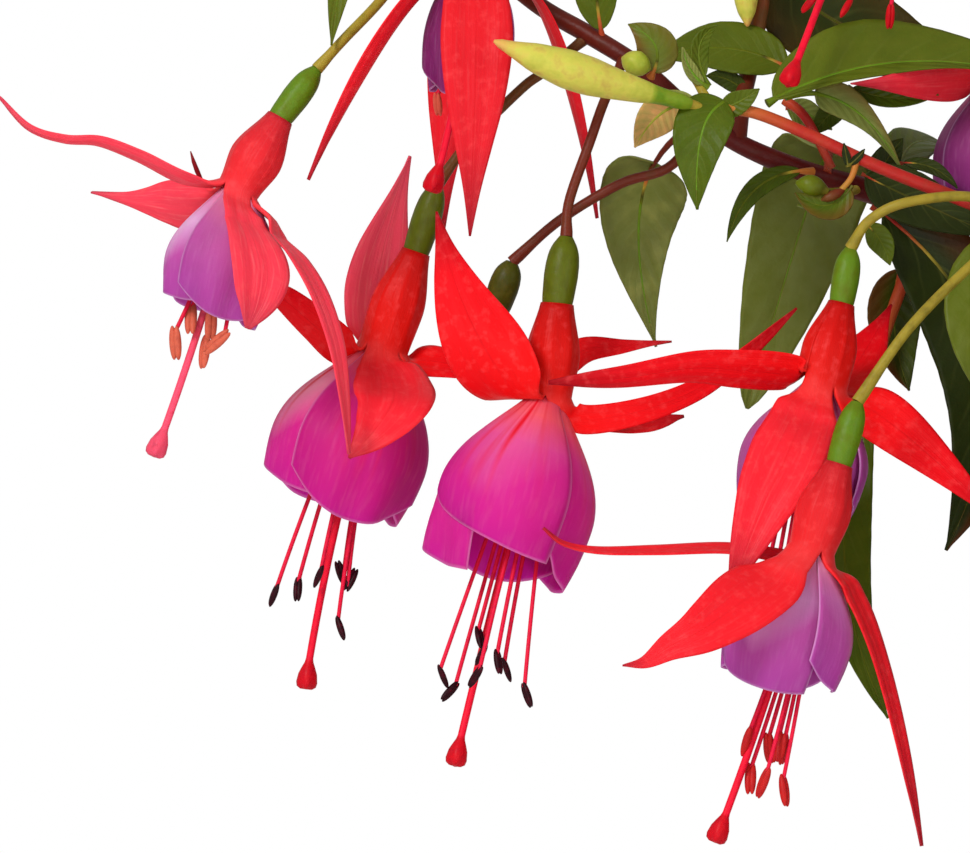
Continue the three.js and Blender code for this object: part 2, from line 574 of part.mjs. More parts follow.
// The stems round the rest of the rim follow one rule: a trailing branch with flowers and an upright one
const STEM_R = { root: 2.6, fork: 2, tip: 1 };
const TRAILING_STEMS = [
  { name: "right", azimuth: 0, reach: 1.1, rise: 1, hand: 1, blooms: 2 },
  { name: "back_right", azimuth: 60, reach: 1, rise: 1.08, hand: -1, blooms: 2 },
  { name: "back_left", azimuth: 120, reach: 0.72, rise: 1.1, hand: -1, blooms: 1 },
  { name: "front_left", azimuth: 240, reach: 0.72, rise: 1.1, hand: 1, blooms: 1 },
  { name: "front_right", azimuth: 300, reach: 1, rise: 1.08, hand: 1, blooms: 2 },
];
const UPRIGHT_STEMS = [
  { name: "inner_back", azimuth: 80, height: 1 },
  { name: "inner_front", azimuth: 265, height: 0.85 },
];
// Paths as [distance out from the root, height above the soil]
const FOOT = [0, 5];
const TRAIL_PATH = [FOOT, [6, 19], [28, 28], [55, 34], [85, 42], [112, 44], [132, 36]];
const RISE_PATH = [[28, 28], [42, 46], [56, 70], [68, 94]];
const UPRIGHT_PATH = [FOOT, [2, 34], [5, 66], [3, 96]];

// A pair of leaves to each joint of a stem, every other pair turned across the last
function leafPairs(curve, { from, to, pairs, seed, length }) {
  const leaves = [];
  for (let i = 0; i < pairs; i++) {
    const t = from + ((to - from) * i) / Math.max(1, pairs - 1);
    const base = curve.getPoint(t);
    const along = curve.getTangent(t);
    const level = new THREE.Vector3().crossVectors(along, UP);
    const wide = level.length() < 0.35 ? heading(137.5 * i) : level.normalize();
    const lifted = new THREE.Vector3().crossVectors(wide, along).normalize();
    for (const hand of [-1, 1]) {
      const n = seed + 2 * i + (hand + 1) / 2;
      const long = length * (1.08 - 0.3 * t) * (0.88 + 0.24 * scatter(n));
      const lift = (i % 2 ? 0.34 : 0.02) + 0.16 * (scatter(n + 50) - 0.5);
      const reach = (a, b, c) => moved(base, [wide, a * hand * long], [along, b * long], [lifted, c * long]);
      const mid = reach(0.46, 0.2, 0.2 + 0.5 * lift);
      const tip = moved(reach(0.78, 0.4, lift), [UP, -0.26 * long]);
      leaves.push({ base, mid, tip, width: long * 0.46, face: moved(lifted, [UP, 0.3]), plain: true });
    }
  }
  const end = curve.getPoint(1);
  const crown = curve.getTangent(1);
  const tuft = 0.5 * length;
  leaves.push({
    base: moved(end, [crown, -1]),
    mid: moved(end, [crown, 0.4 * tuft], [UP, 0.14 * tuft]),
    tip: moved(end, [crown, tuft]),
    width: 0.42 * tuft, face: moved(UP, [crown, -0.5]), plain: true,
  });
  return leaves;
}

// A flower that hangs from a stem at a point
function hangingFlower({ name, root, out, side, drop, seed }) {
  const step = (o, s, u) => moved(root, [out, o], [side, s], [UP, u]);
  const bend = step(11, 9, -drop);
  const lean = moved(DOWN, [out, 0.14], [side, 0.1]).normalize();
  const start = moved(bend, [lean, OVARY.length]);
  const throat = moved(start, [lean, TUBE.length]);
  const mouth = moved(throat, [DOWN, 27], [out, 1.5]);
  const stigma = moved(mouth, [DOWN, 30], [out, 4 * scatter(seed + 5) - 1]);
  const turn = 360 * scatter(seed + 9);
  const rise = 6 + 14 * scatter(seed + 13);
  const sepals = [0, 1, 2, 3].map((m) => {
    const side = turn + 90 * m + 16 * (scatter(seed + 17 * m) - 0.5);
    const radial = heading(side);
    const lift = rise + 8 * (scatter(seed + 23 * m) - 0.5);
    return {
      side, mid: moved(throat, [radial, 19], [UP, -2]), tip: moved(throat, [radial, 35], [UP, lift]),
      width: 13.5, roll: 24 * (scatter(seed + 29 * m) - 0.5),
    };
  });
  const pedicel = [root, step(4, 3, 2.5), step(9, 7, -0.4 * drop), bend];
  const size = { petalR: 12.4, stamenReach: 0.5 };
  return { name, pedicel, start, throat, mouth, stigma, sepals, turn, seed, ...size, plain: true };
}

function pathAlong(path, azimuth, rootR, reach, rise) {
  const out = heading(azimuth);
  return path.map(([r, h]) => {
    const height = SOIL_TOP + (h > FOOT[1] ? h * rise : h);
    return moved(new THREE.Vector3(), [out, rootR + r * reach], [UP, height]);
  });
}

function trailingStem({ name, azimuth, reach, rise, hand, blooms }, index) {
  const seed = 100 * (index + 1);
  const out = heading(azimuth);
  const side = heading(azimuth + 90);
  const trail = pathAlong(TRAIL_PATH, azimuth, SOIL.stemRing, reach, rise);
  trail.forEach((p, i) => p.addScaledVector(side, i > 2 ? 5 * (scatter(seed + i) - 0.5) : 0));
  const upper = pathAlong(RISE_PATH, azimuth, SOIL.stemRing, reach, rise);
  const curves = [smooth(trail), smooth(upper)];
  const leaves = [
    ...leafPairs(curves[0], { from: 0.36, to: 0.97, pairs: 4, seed: seed + 10, length: 38 }),
    ...leafPairs(curves[1], { from: 0.3, to: 0.95, pairs: 3, seed: seed + 30, length: 38 }),
  ];
  const places = [
    { part: "outer", t: 0.97, sway: -hand, drop: 24, seed: seed + 60 },
    { part: "inner", t: 0.7, sway: 1.8 * hand, drop: 16, seed: seed + 72 },
  ];
  const flowers = places.slice(0, blooms).map(({ part, t, sway, ...rest }) => {
    const at = { root: curves[0].getPoint(t), out, side: side.clone().multiplyScalar(sway) };
    return hangingFlower({ name: `bloom_${name}_${part}`, ...at, ...rest });
  });
  return { name: `stem_${name}`, foot: trail[0], curves, leaves, flowers };
}

function uprightStem({ name, azimuth, height }, index) {
  const path = pathAlong(UPRIGHT_PATH, azimuth, 16, 1, height);
  const curves = [smooth(path)];
  const leaves = leafPairs(curves[0], { from: 0.3, to: 0.95, pairs: 4, seed: 700 + 100 * index, length: 40 });
  return { name: `stem_${name}`, foot: path[0], curves, leaves, flowers: [] };
}

function stemSolid({ foot, curves, leaves, flowers }) {
  const root = moved(foot, [UP, SOIL_TOP - SOIL.rootDepth - foot.z]);
  const [trail, ...branches] = curves;
  const steps = 7;
  const radii = tapered(STEM_R.root, STEM_R.tip, steps);
  return join([
    stalk([root, ...sampled(trail, steps)], [STEM_R.root, ...radii], 4),
    ...branches.map((curve) => stalk(sampled(curve, 4), tapered(STEM_R.fork, STEM_R.tip, 4), 4)),
    ...leaves.map(leafSolid),
    ...flowers.map(({ pedicel, start }) => pedicelSolid(pedicel, start)),
  ]);
}

// The basket: a moulded pot with a banded rim, three lugs for the hanger and drain holes

const armLine = (azimuth) => {
  const out = heading(azimuth);
  const top = moved(new THREE.Vector3(), [out, ARM.topR], [UP, ARM.topZ]);
  const hole = moved(new THREE.Vector3(), [out, ARM.bottomR], [UP, POT.rimZ - LUG.drop]);
  return { out, top, hole, along: hole.clone().sub(top).normalize() };
};
const armHole = (azimuth) => {
  const { top, hole, along } = armLine(azimuth);
  const r = ARM.wireR + FIT;
  return stalk([moved(top, [along, -FIT]), moved(hole, [along, 4 * LUG.thick])], [r, r], ARM.sides);
};

function potSolid() {
  const outerR = POT.rimR - BAND.step;
  const innerR = outerR - POT.wall;
  const bandFoot = POT.rimZ - BAND.height;
  const floorZ = POT_BASE + POT.floor;
  const body = turned([
    [0, POT_BASE], [POT.footR - 3, POT_BASE], [POT.footR, POT_BASE + 3], [outerR, bandFoot],
    [POT.rimR, bandFoot], [POT.rimR + 0.6, POT.rimZ], [innerR, POT.rimZ], [innerR, bandFoot],
    [POT.footR - POT.wall, floorZ + 3], [POT.footR - POT.wall - 3, floorZ], [0, floorZ],
  ], POT.sides);
  const lugs = LUG.azimuths.map((azimuth) => {
    const block = new THREE.BoxGeometry(LUG.toR - LUG.fromR, LUG.width, LUG.thick);
    block.translate((LUG.fromR + LUG.toR) / 2 + 1.5, 0, POT.rimZ - LUG.drop - LUG.thick / 2);
    return solidFromGeometry(block.rotateZ(radians(azimuth)));
  });
  const drains = Array.from({ length: DRAIN.count }, (_, i) => {
    const out = heading(45 + (360 * i) / DRAIN.count);
    const centre = moved(new THREE.Vector3(), [out, DRAIN.ring], [UP, POT_BASE]);
    return stalk([moved(centre, [DOWN, 1]), moved(centre, [UP, POT.floor + 1])], [DRAIN.r, DRAIN.r], 10);
  });
  const cavity = turned([
    [0, POT.rimZ - 20], [innerR - 5, POT.rimZ - 20], [innerR, bandFoot],
    [innerR, POT.rimZ + 1], [0, POT.rimZ + 1],
  ], POT.sides);
  return join([body, ...lugs]).subtract(join([...drains, cavity, ...LUG.azimuths.map(armHole)]));
}

function soilSolid(stems) {
  const wallR = (z) => {
    const bandFoot = POT.rimZ - BAND.height;
    const share = Math.min(1, (z - POT_BASE - POT.floor - 3) / (bandFoot - POT_BASE - POT.floor - 3));
    return THREE.MathUtils.lerp(POT.footR, POT.rimR - BAND.step, share) - POT.wall - 2 * FIT;
  };
  const foot = POT_BASE + POT.floor + FIT;
  const body = turned([
    [0, foot], [POT.footR - POT.wall - 4, foot], [wallR(foot + 4), foot + 4],
    [wallR(SOIL_TOP - 3), SOIL_TOP - 3], [wallR(SOIL_TOP) - 6, SOIL_TOP], [0, SOIL_TOP],
  ], POT.sides);
  const holes = stems.map(({ foot: { x, y }, r }) => {
    const floor = new THREE.Vector3(x, y, SOIL_TOP - SOIL.rootDepth - FIT);
    return stalk([floor, moved(floor, [UP, 2 * SOIL.rootDepth])], [r + 2 * FIT, r + 2 * FIT], 8);
  });
  return body.subtract(join(holes));
}

// The hanger: a hook with a small crown, and three straight arms that end in a bead under each lug

function hookSolid() {
  const centre = -HOOK.innerR;
  const r = HOOK.innerR + HOOK.wireR;
  const steps = 12;
  const bend = Array.from({ length: steps + 1 }, (_, i) => {
    const a = radians(HOOK.from + ((HOOK.to - HOOK.from) * i) / steps);
    return new THREE.Vector3(r * Math.cos(a), 0, centre + r * Math.sin(a));
  });
  const shank = [HOOK.shankZ, HOOK.shankZ + 12].map((z) => new THREE.Vector3(0, 0, z));
  const wire = stalk([...shank, ...bend], Array(steps + 3).fill(HOOK.wireR), 8);
  const low = CROWN.z;
  const high = CROWN.z + CROWN.height;
  const crown = turned([
    [0, low], [CROWN.r - 1, low], [CROWN.r, low + 2], [CROWN.r, high - 5], [3.2, high], [0, high],
  ], CROWN.sides);
  return join([wire, crown]).subtract(join(LUG.azimuths.map(armHole)));
}

function armSolid(azimuth) {
  const { top, hole, along } = armLine(azimuth);
  const underLug = POT.rimZ - LUG.drop - LUG.thick;
  const beadZ = underLug - FIT - ARM.beadR;
  const bead = moved(top, [along, (beadZ - top.z) / along.z]);
  const ball = new THREE.SphereGeometry(ARM.beadR, 8, 6).rotateX(Math.PI / 2).translate(...bead.toArray());
  const start = moved(top, [along, FIT]);
  return join([stalk([start, hole, bead], Array(3).fill(ARM.wireR), ARM.sides), solidFromGeometry(ball)]);
}

// The whole object

const part = new THREE.Group();

function add(name, solid, color, roughness, metalness = 0) {
  const material = new THREE.MeshStandardMaterial({ color, roughness, metalness });
  const mesh = new THREE.Mesh(geometryOf(solid), material);
  mesh.name = name;
  part.add(mesh);
}

const FINISH = { leaf: "#4d7f35", calyx: "#e02430", pot: "#3c4a3f", soil: "#3a2a20", steel: "#9a9d9f" };
const corollaColour = { bloom_second: "#c01f92", bloom_centre: "#c4249a", bloom_high: "#b02492" };
const VIOLET = "#8e4bbd";

const sprayFlowers = SPRAY_FLOWERS.map(sprayFlower);
const stems = [...TRAILING_STEMS.map(trailingStem), ...UPRIGHT_STEMS.map(uprightStem)];
const roots = [
  { foot: inSpray(SPRAY_ROOT), r: SPRAY_STEMS[0].radii[0] },
  ...stems.map(({ foot }) => ({ foot, r: STEM_R.root })),
];

add("pot", potSolid(), FINISH.pot, 0.5);
add("soil", soilSolid(roots), FINISH.soil, 1);
add("hook", hookSolid(), FINISH.steel, 0.35, 1);
LUG.azimuths.forEach((azimuth) => add(`hanger_arm_${azimuth}`, armSolid(azimuth), FINISH.steel, 0.35, 1));
add("stem_spray", spraySolid(sprayFlowers), FINISH.leaf, 0.6);
for (const stem of stems) add(stem.name, stemSolid(stem), FINISH.leaf, 0.6);
for (const flower of [...sprayFlowers, ...stems.flatMap(({ flowers }) => flowers)]) {
  add(`${flower.name}_calyx`, calyxSolid(flower), FINISH.calyx, 0.45);
  add(`${flower.name}_corolla`, corollaSolid(flower), corollaColour[flower.name] ?? VIOLET, 0.6);
}

export default part;
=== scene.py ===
# Looks for a trailing fuchsia in a hanging basket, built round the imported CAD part.
# Shapes are worked out in millimetres and turned into metres where a mesh is made.
import math
import bmesh
import bpy
import numpy as np
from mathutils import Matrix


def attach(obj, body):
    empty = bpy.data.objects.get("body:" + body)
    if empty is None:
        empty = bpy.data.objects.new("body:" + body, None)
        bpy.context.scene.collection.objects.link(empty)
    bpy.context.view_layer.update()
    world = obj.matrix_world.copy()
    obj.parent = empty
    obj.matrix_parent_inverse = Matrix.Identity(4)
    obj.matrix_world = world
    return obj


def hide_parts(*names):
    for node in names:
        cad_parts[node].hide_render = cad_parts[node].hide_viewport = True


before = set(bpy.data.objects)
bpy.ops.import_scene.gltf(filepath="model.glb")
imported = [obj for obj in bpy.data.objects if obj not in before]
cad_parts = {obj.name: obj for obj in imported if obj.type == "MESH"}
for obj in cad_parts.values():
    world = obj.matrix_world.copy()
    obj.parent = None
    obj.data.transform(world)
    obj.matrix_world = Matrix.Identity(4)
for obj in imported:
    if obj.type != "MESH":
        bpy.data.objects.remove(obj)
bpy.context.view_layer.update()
scene = bpy.context.scene
print("stage: CAD frame loaded")

mm = 0.001
up = np.array([0.0, 0.0, 1.0])
down = -up


def unit(v):
    return v / np.linalg.norm(v)


def heading(degrees):
    a = math.radians(degrees)
    return np.array([math.cos(a), math.sin(a), 0.0])


def scatter(n):  # the same number always gives the same value between 0 and 1
    x = math.sin(n * 12.9898 + 4.1414) * 43758.5453
    return x - math.floor(x)


def smoothstep(x, low, high):
    t = np.clip((x - low) / (high - low), 0, 1)
    return t * t * (3 - 2 * t)


def arch(start, pull, end):
    start, pull, end = (np.asarray(p, float) for p in (start, pull, end))
    return lambda t: (1 - t) ** 2 * start + 2 * t * (1 - t) * pull + t * t * end


def smoothPath(points):  # Catmull-Rom through the points
    points = [np.asarray(p, float) for p in points]
    padded = [2 * points[0] - points[1], *points, 2 * points[-1] - points[-2]]

    def at(t):
        along = t * (len(points) - 1)
        i = min(int(along), len(points) - 2)
        w = along - i
        a, b, c, d = padded[i:i + 4]
        m, n = 0.5 * (c - a), 0.5 * (d - b)
        return b + m * w + (3 * c - 3 * b - 2 * m - n) * w * w + (2 * b - 2 * c + m + n) * w ** 3

    return at


def sampled(curve, steps):
    return [curve(i / steps) for i in range(steps + 1)]


def tangentAt(curve, t):
    return unit(curve(min(1, t + 1e-4)) - curve(max(0, t - 1e-4)))


def tangentsOf(points):
    steps = np.gradient(np.asarray(points), axis=0)
    return steps / np.linalg.norm(steps, axis=1)[:, None]


def carried(tangents, first):  # sideways directions that follow a path without twisting
    sides, side = [], first
    for t in tangents:
        side = unit(side - t * np.dot(side, t))
        sides.append(side)
    return sides


def turnedAbout(v, axis, degrees):
    a = math.radians(degrees)
    return v * math.cos(a) + np.cross(axis, v) * math.sin(a) + axis * np.dot(axis, v) * (1 - math.cos(a))


def compass(axis):  # directions round an axis: 0 is to the right, 90 to the back
    right = unit(np.array([1.0, 0, 0]) - axis * axis[0])
    back = unit(np.cross(right, axis))
    return lambda degrees: right * math.cos(math.radians(degrees)) + back * math.sin(math.radians(degrees))


def ringAngles(count):
    return np.linspace(0, 2 * math.pi, count, endpoint=False)


def spotsOver(a, shares):  # UVs of a strip: a runs from -1 to 1 across it, shares from 0 to 1 along it
    return np.stack(np.meshgrid((a + 1) / 2, shares), -1)


# Meshes

meshLook = {"mergeWithin": 0.004, "wallSteps": 24}


def newObject(name, data):
    made = bpy.data.objects.new(name, data)
    scene.collection.objects.link(made)
    return made


def freeze(piece):  # the evaluated shape becomes the piece's plain mesh
    graph = bpy.context.evaluated_depsgraph_get()
    mesh = bpy.data.meshes.new_from_object(piece.evaluated_get(graph))
    piece.modifiers.clear()
    piece.vertex_groups.clear()
    piece.data = mesh
    return piece


def thicken(piece, wall, thinnest, offset):  # each point gets its own share of the wall
    mesh = piece.data
    shares = np.zeros(len(mesh.vertices))
    mesh.attributes["wallShare"].data.foreach_get("value", shares)
    group = piece.vertex_groups.new(name="wall")
    steps = np.round(shares * meshLook["wallSteps"]).astype(int)
    for step in np.unique(steps):
        group.add(np.flatnonzero(steps == step).tolist(), float(step) / meshLook["wallSteps"], "REPLACE")
    solid = piece.modifiers.new("wall", "SOLIDIFY")
    solid.thickness = wall * mm
    solid.offset = offset
    solid.vertex_group = "wall"
    solid.thickness_vertex_group = thinnest
    solid.use_rim = True
    solid.material_offset = len(mesh.materials) - 1
    return freeze(piece)


def grown(name, mesh, tree, inputs):  # a Geometry Nodes tree is run on a mesh, and its result kept
    piece = newObject(name, mesh)
    live = piece.modifiers.new("grown", "NODES")
    live.node_group = tree
    for item in tree.interface.items_tree:
        if item.in_out == "INPUT" and item.name in inputs:
            live[item.identifier] = inputs[item.name]
    return freeze(piece)


class Pile:  # grids gathered into one mesh, with a UV, a wall share and named values at each point
    def __init__(self):
        self.points, self.faces, self.uvs, self.walls, self.values, self.count = [], [], [], [], {}, 0

    def grid(self, rows, uv, wall=None, wrapped=False, flipped=False, **values):
        rows = np.asarray(rows, float)
        r, c = rows.shape[:2]
        index = np.arange(r * c).reshape(r, c) + self.count
        across = np.concatenate([index, index[:, :1]], 1) if wrapped else index
        corners = [across[:-1, :-1], across[1:, :-1], across[1:, 1:], across[:-1, 1:]]
        quads = np.stack(corners, -1).reshape(-1, 4)
        self.faces.append(quads[:, ::-1] if flipped else quads)
        self.points.append(rows.reshape(-1, 3))
        self.uvs.append(np.asarray(uv, float).reshape(-1, 2))
        self.walls.append(np.ones(r * c) if wall is None else np.asarray(wall, float).reshape(-1))
        for key, value in values.items():
            self.values.setdefault(key, []).append(np.broadcast_to(value, (r, c)).reshape(-1))
        self.count += r * c

    def rings(self, rows, **values):  # each row of points closes round an axis
        rows = np.asarray(rows, float)
        uv = np.stack(np.meshgrid(np.linspace(0, 1, rows.shape[1]), np.linspace(0, 1, len(rows))), -1)
        self.grid(rows, uv, wrapped=True, flipped=True, **values)

    def build(self, name, materials, wall=0.0, thinnest=0.3, offset=-1.0):
        mesh = bpy.data.meshes.new(name)
        points = np.concatenate(self.points)
        mesh.from_pydata((points * mm).tolist(), [], np.concatenate(self.faces).tolist())
        uv = mesh.uv_layers.new(name="UVMap")
        corners = np.zeros(len(mesh.loops), int)
        mesh.loops.foreach_get("vertex_index", corners)
        uv.data.foreach_set("uv", np.concatenate(self.uvs)[corners].ravel())
        for key, value in {**self.values, "wallShare": self.walls}.items():
            mesh.attributes.new(key, "FLOAT", "POINT").data.foreach_set("value", np.concatenate(value))
        work = bmesh.new()
        work.from_mesh(mesh)
        bmesh.ops.remove_doubles(work, verts=work.verts, dist=meshLook["mergeWithin"] * mm)
        work.to_mesh(mesh)
        work.free()
        mesh.shade_smooth()
        piece = newObject(name, mesh)
        for material in materials:
            mesh.materials.append(material)
        return thicken(piece, wall, thinnest, offset) if wall else piece


def place(piece, slot, *nodes):
    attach(piece, "root")
    if nodes:
        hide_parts(*nodes)
    return piece


# Nodes

def rgb(red, green, blue):
    def linear(c):
        c /= 255
        return c / 12.92 if c <= 0.04045 else ((c + 0.055) / 1.055) ** 2.4
    return (linear(red), linear(green), linear(blue), 1.0)


def node(tree, kind, inputs=None, **settings):
    made = tree.nodes.new(kind)
    for key, value in settings.items():
        setattr(made, key, value)
    for key, value in (inputs or {}).items():
        value = value.socket if isinstance(value, Reading) else value
        if isinstance(value, bpy.types.NodeSocket):
            tree.links.new(value, made.inputs[key])
        else:
            made.inputs[key].default_value = value
    return made


def calc(operation, a, b=0.5):
    tree = (a if isinstance(a, Reading) else b).socket.id_data
    return Reading(node(tree, "ShaderNodeMath", {0: a, 1: b}, operation=operation).outputs[0])


class Reading:  # a value that a node gives: arithmetic on it adds Math nodes
    def __init__(self, socket):
        self.socket = socket

    def __add__(self, other):
        return calc("ADD", self, other)

    def __sub__(self, other):
        return calc("SUBTRACT", self, other)

    def __rsub__(self, other):
        return calc("SUBTRACT", other, self)

    def __mul__(self, other):
        return calc("MULTIPLY", self, other)

    def __truediv__(self, other):
        return calc("DIVIDE", self, other)

    def __abs__(self):
        return calc("ABSOLUTE", self)

    def held(self):  # between 0 and 1
        self.socket.node.use_clamp = True
        return self

    def above(self, level, gain):  # how far it stands above a level
        return ((self - level).held() * gain).held()

    def fading(self, gain):  # 1 where it is 0, and down from there
        return (1.0 - self * gain).held()


class Skin:  # a material in the making, one coat of colour over another
    def __init__(self, name, sockets):
        self.material = bpy.data.materials.new(name)
        self.material.use_nodes = True
        self.tree = self.material.node_tree
        self.shader = self.tree.nodes["Principled BSDF"]
        for key, value in sockets.items():
            self.shader.inputs[key].default_value = value

    def read(self, kind, inputs=None, output=0, **settings):
        return Reading(node(self.tree, kind, inputs, **settings).outputs[output])

    def attribute(self, name):
        return self.read("ShaderNodeAttribute", output="Fac", attribute_name=name)

    def uvSpots(self):
        split = node(self.tree, "ShaderNodeSeparateXYZ", {0: self.read("ShaderNodeUVMap", uv_map="UVMap")})
        return Reading(split.outputs[0]), Reading(split.outputs[1])

    def cloud(self, scale, detail, where=None):
        where = where or self.read("ShaderNodeTexCoord", output="Object")
        return self.read("ShaderNodeTexNoise", {"Vector": where, "Scale": scale, "Detail": detail}, "Fac")

    def streaks(self, x, y, detail):  # a cloud drawn out along the surface
        return self.cloud(1.0, detail, self.read("ShaderNodeCombineXYZ", {0: x, 1: y}))

    def ramp(self, factor, stops):
        made = node(self.tree, "ShaderNodeValToRGB", {0: factor})
        elements = made.color_ramp.elements
        while len(elements) < len(stops):
            elements.new(0.5)
        for element, (spot, colour) in zip(elements, stops):
            element.position = spot
            element.color = colour
        return made.outputs[0]

    def coat(self, amount, colour):
        mix = node(self.tree, "ShaderNodeMix", {0: amount, 6: self.colour, 7: colour}, data_type="RGBA")
        self.colour = mix.outputs[2]

    def finish(self, height=None, strength=0.3, depth=0.0003, roughness=None):
        self.tree.links.new(self.colour, self.shader.inputs["Base Color"])
        if roughness:
            self.tree.links.new(roughness.socket, self.shader.inputs["Roughness"])
        if height:
            given = {"Height": height, "Strength": strength, "Distance": depth}
            bump = node(self.tree, "ShaderNodeBump", given)
            self.tree.links.new(bump.outputs[0], self.shader.inputs["Normal"])
        return self.material


# Materials

sepalFinish = {
    "shader": {"Roughness": 0.4, "Specular IOR Level": 0.08, "Subsurface Weight": 0.12,
               "Subsurface Scale": 0.0012},
    "along": [
        (0.0, rgb(176, 14, 10)), (0.12, rgb(206, 18, 14)), (0.24, rgb(216, 26, 20)), (0.27, rgb(226, 46, 42)),
        (0.33, rgb(230, 16, 18)), (0.8, rgb(228, 12, 24)), (1.0, rgb(150, 6, 20)),
    ],
    "pink": rgb(255, 92, 118), "dark": rgb(186, 6, 10), "pale": rgb(252, 96, 96), "rib": rgb(196, 10, 18),
    "light": rgb(255, 140, 140), "dim": rgb(130, 20, 26),
}


def sepalMaterial(look):
    skin = Skin("sepalSkin", look["shader"])
    u, v = skin.uvSpots()
    tone = skin.attribute("tone")
    streak = skin.streaks(u * 22.0, v * 5.0, 2.0)
    skin.colour = skin.ramp(v, look["along"])
    skin.coat(tone, look["pink"])
    dark = streak.above(0.52, 0.55)
    plain = tone.fading(3.0)
    skin.coat(dark * plain, look["dark"])
    skin.coat(skin.attribute("dim"), look["dim"])
    skin.coat((dark * tone * 5.0).held(), look["light"])
    skin.coat(skin.cloud(700.0, 5.0).above(0.52, 0.9), look["pale"])
    rib = abs(u - 0.5).fading(40.0) * v.above(0.3, 3.0)
    skin.coat(rib * 0.45 * plain, look["rib"])
    return skin.finish(streak * 0.6 + skin.cloud(2200.0, 2.0) * 0.3 - rib * 0.3, 0.3, 0.0004)


petalShader = {
    "Roughness": 0.5, "Specular IOR Level": 0.1, "Subsurface Weight": 0.5, "Subsurface Scale": 0.003,
    "Subsurface Radius": (1.0, 0.4, 0.8),
}
# pale colours each petal's paler patch (part its own colour, part painted sheen) and its fine streaks
petalFinish = {
    "magenta": {
        "body": [(0.0, rgb(238, 66, 84)), (0.15, rgb(248, 82, 92)), (0.36, rgb(216, 38, 132)),
                 (1.0, rgb(198, 18, 130))],
        "deep": rgb(170, 12, 92), "pale": rgb(252, 140, 166), "rim": rgb(246, 130, 190),
        "vein": rgb(230, 22, 40), "veinReach": 0.8, "veinLevel": 0.46,
    },
    "violet": {
        "body": [(0.0, rgb(236, 130, 158)), (0.14, rgb(218, 116, 158)), (0.36, rgb(190, 84, 154)),
                 (1.0, rgb(166, 60, 150))],
        "deep": rgb(100, 16, 74), "pale": rgb(226, 168, 216), "rim": rgb(222, 160, 216),
        "vein": rgb(196, 40, 110), "veinReach": 0.35, "veinLevel": 0.5,
    },
}


def petalMaterial(name, look):
    skin = Skin(name, petalShader)
    u, v = skin.uvSpots()
    skin.colour = skin.ramp(v, look["body"])
    drift = skin.streaks(u * 4.0, v * 2.2, 4.0)
    edge = abs(u - 0.5)
    deep = (edge * 0.8 + (drift - 0.62)).held()
    skin.coat((deep * 0.7 + skin.attribute("tone")).held(), look["deep"])
    # a paler patch across the middle of each petal: part the petal's own paler colour, part painted sheen
    fade = (1.0 - (abs(v - 0.34) * 2.1 + edge * 1.7)).held() * (drift + 0.55)
    skin.coat((fade * skin.attribute("pale")).held(), look["pale"])
    line = skin.streaks(u * 15.0, v * 1.1, 1.0).above(look["veinLevel"], 4.0)
    veins = line * (1.0 - v / look["veinReach"]).held() * edge.fading(2.4)
    skin.coat((veins * 1.8).held(), look["vein"])
    fine = skin.streaks(u * 34.0, v * 5.0, 3.0)
    skin.coat(fine.above(0.5, 0.3), look["pale"])
    skin.coat(calc("MAXIMUM", edge.above(0.484, 80.0), v.above(0.982, 70.0)) * 0.45, look["rim"])
    return skin.finish(fine * 0.8 + skin.cloud(1300.0, 2.0) * 0.3)


stamenFinish = {
    "shader": {"Roughness": 0.45, "Specular IOR Level": 0.12, "Subsurface Weight": 0.1,
               "Subsurface Scale": 0.0008},
    "filament": rgb(222, 20, 58), "style": rgb(230, 16, 48), "stigma": rgb(200, 8, 26),
    "blush": rgb(246, 96, 128), "speck": rgb(120, 10, 40),
    "anther": [(0.0, rgb(40, 3, 12)), (0.5, rgb(186, 6, 18)), (1.0, rgb(206, 96, 72))],
}


def stamenMaterial(look):
    skin = Skin("stamenSkin", look["shader"])
    kind = skin.attribute("kind")  # 0 filament, 1 anther, 2 style, 3 stigma
    isStyle = calc("GREATER_THAN", kind, 1.5)
    speckle = skin.cloud(900.0, 3.0)
    skin.colour = look["filament"]
    skin.coat(calc("COMPARE", kind, 1.0), skin.ramp(skin.attribute("antherTone"), look["anther"]))
    skin.coat(isStyle, look["style"])
    skin.coat((kind - 2.0).held(), look["stigma"])
    skin.coat(skin.attribute("blush") * isStyle, look["blush"])
    skin.coat(speckle.above(0.5, 1.2), look["speck"])
    return skin.finish(speckle)


leafFinish = {
    "shader": {"Specular IOR Level": 0.1, "Subsurface Weight": 0.06, "Subsurface Scale": 0.001},
    "upper": [(0.0, rgb(26, 34, 10)), (0.25, rgb(46, 54, 14)), (0.45, rgb(72, 88, 12)),
              (0.6, rgb(88, 98, 22)), (0.75, rgb(106, 114, 52)), (0.9, rgb(150, 152, 76)),
              (1.0, rgb(226, 170, 104))],
    "under": [(0.0, rgb(44, 52, 28)), (0.3, rgb(72, 82, 40)), (0.6, rgb(104, 112, 60)),
              (0.8, rgb(132, 136, 84)), (1.0, rgb(228, 178, 118))],
    "vein": rgb(128, 134, 62), "midrib": rgb(150, 120, 66), "rust": rgb(112, 44, 24), "sideVeins": 7.0,
}


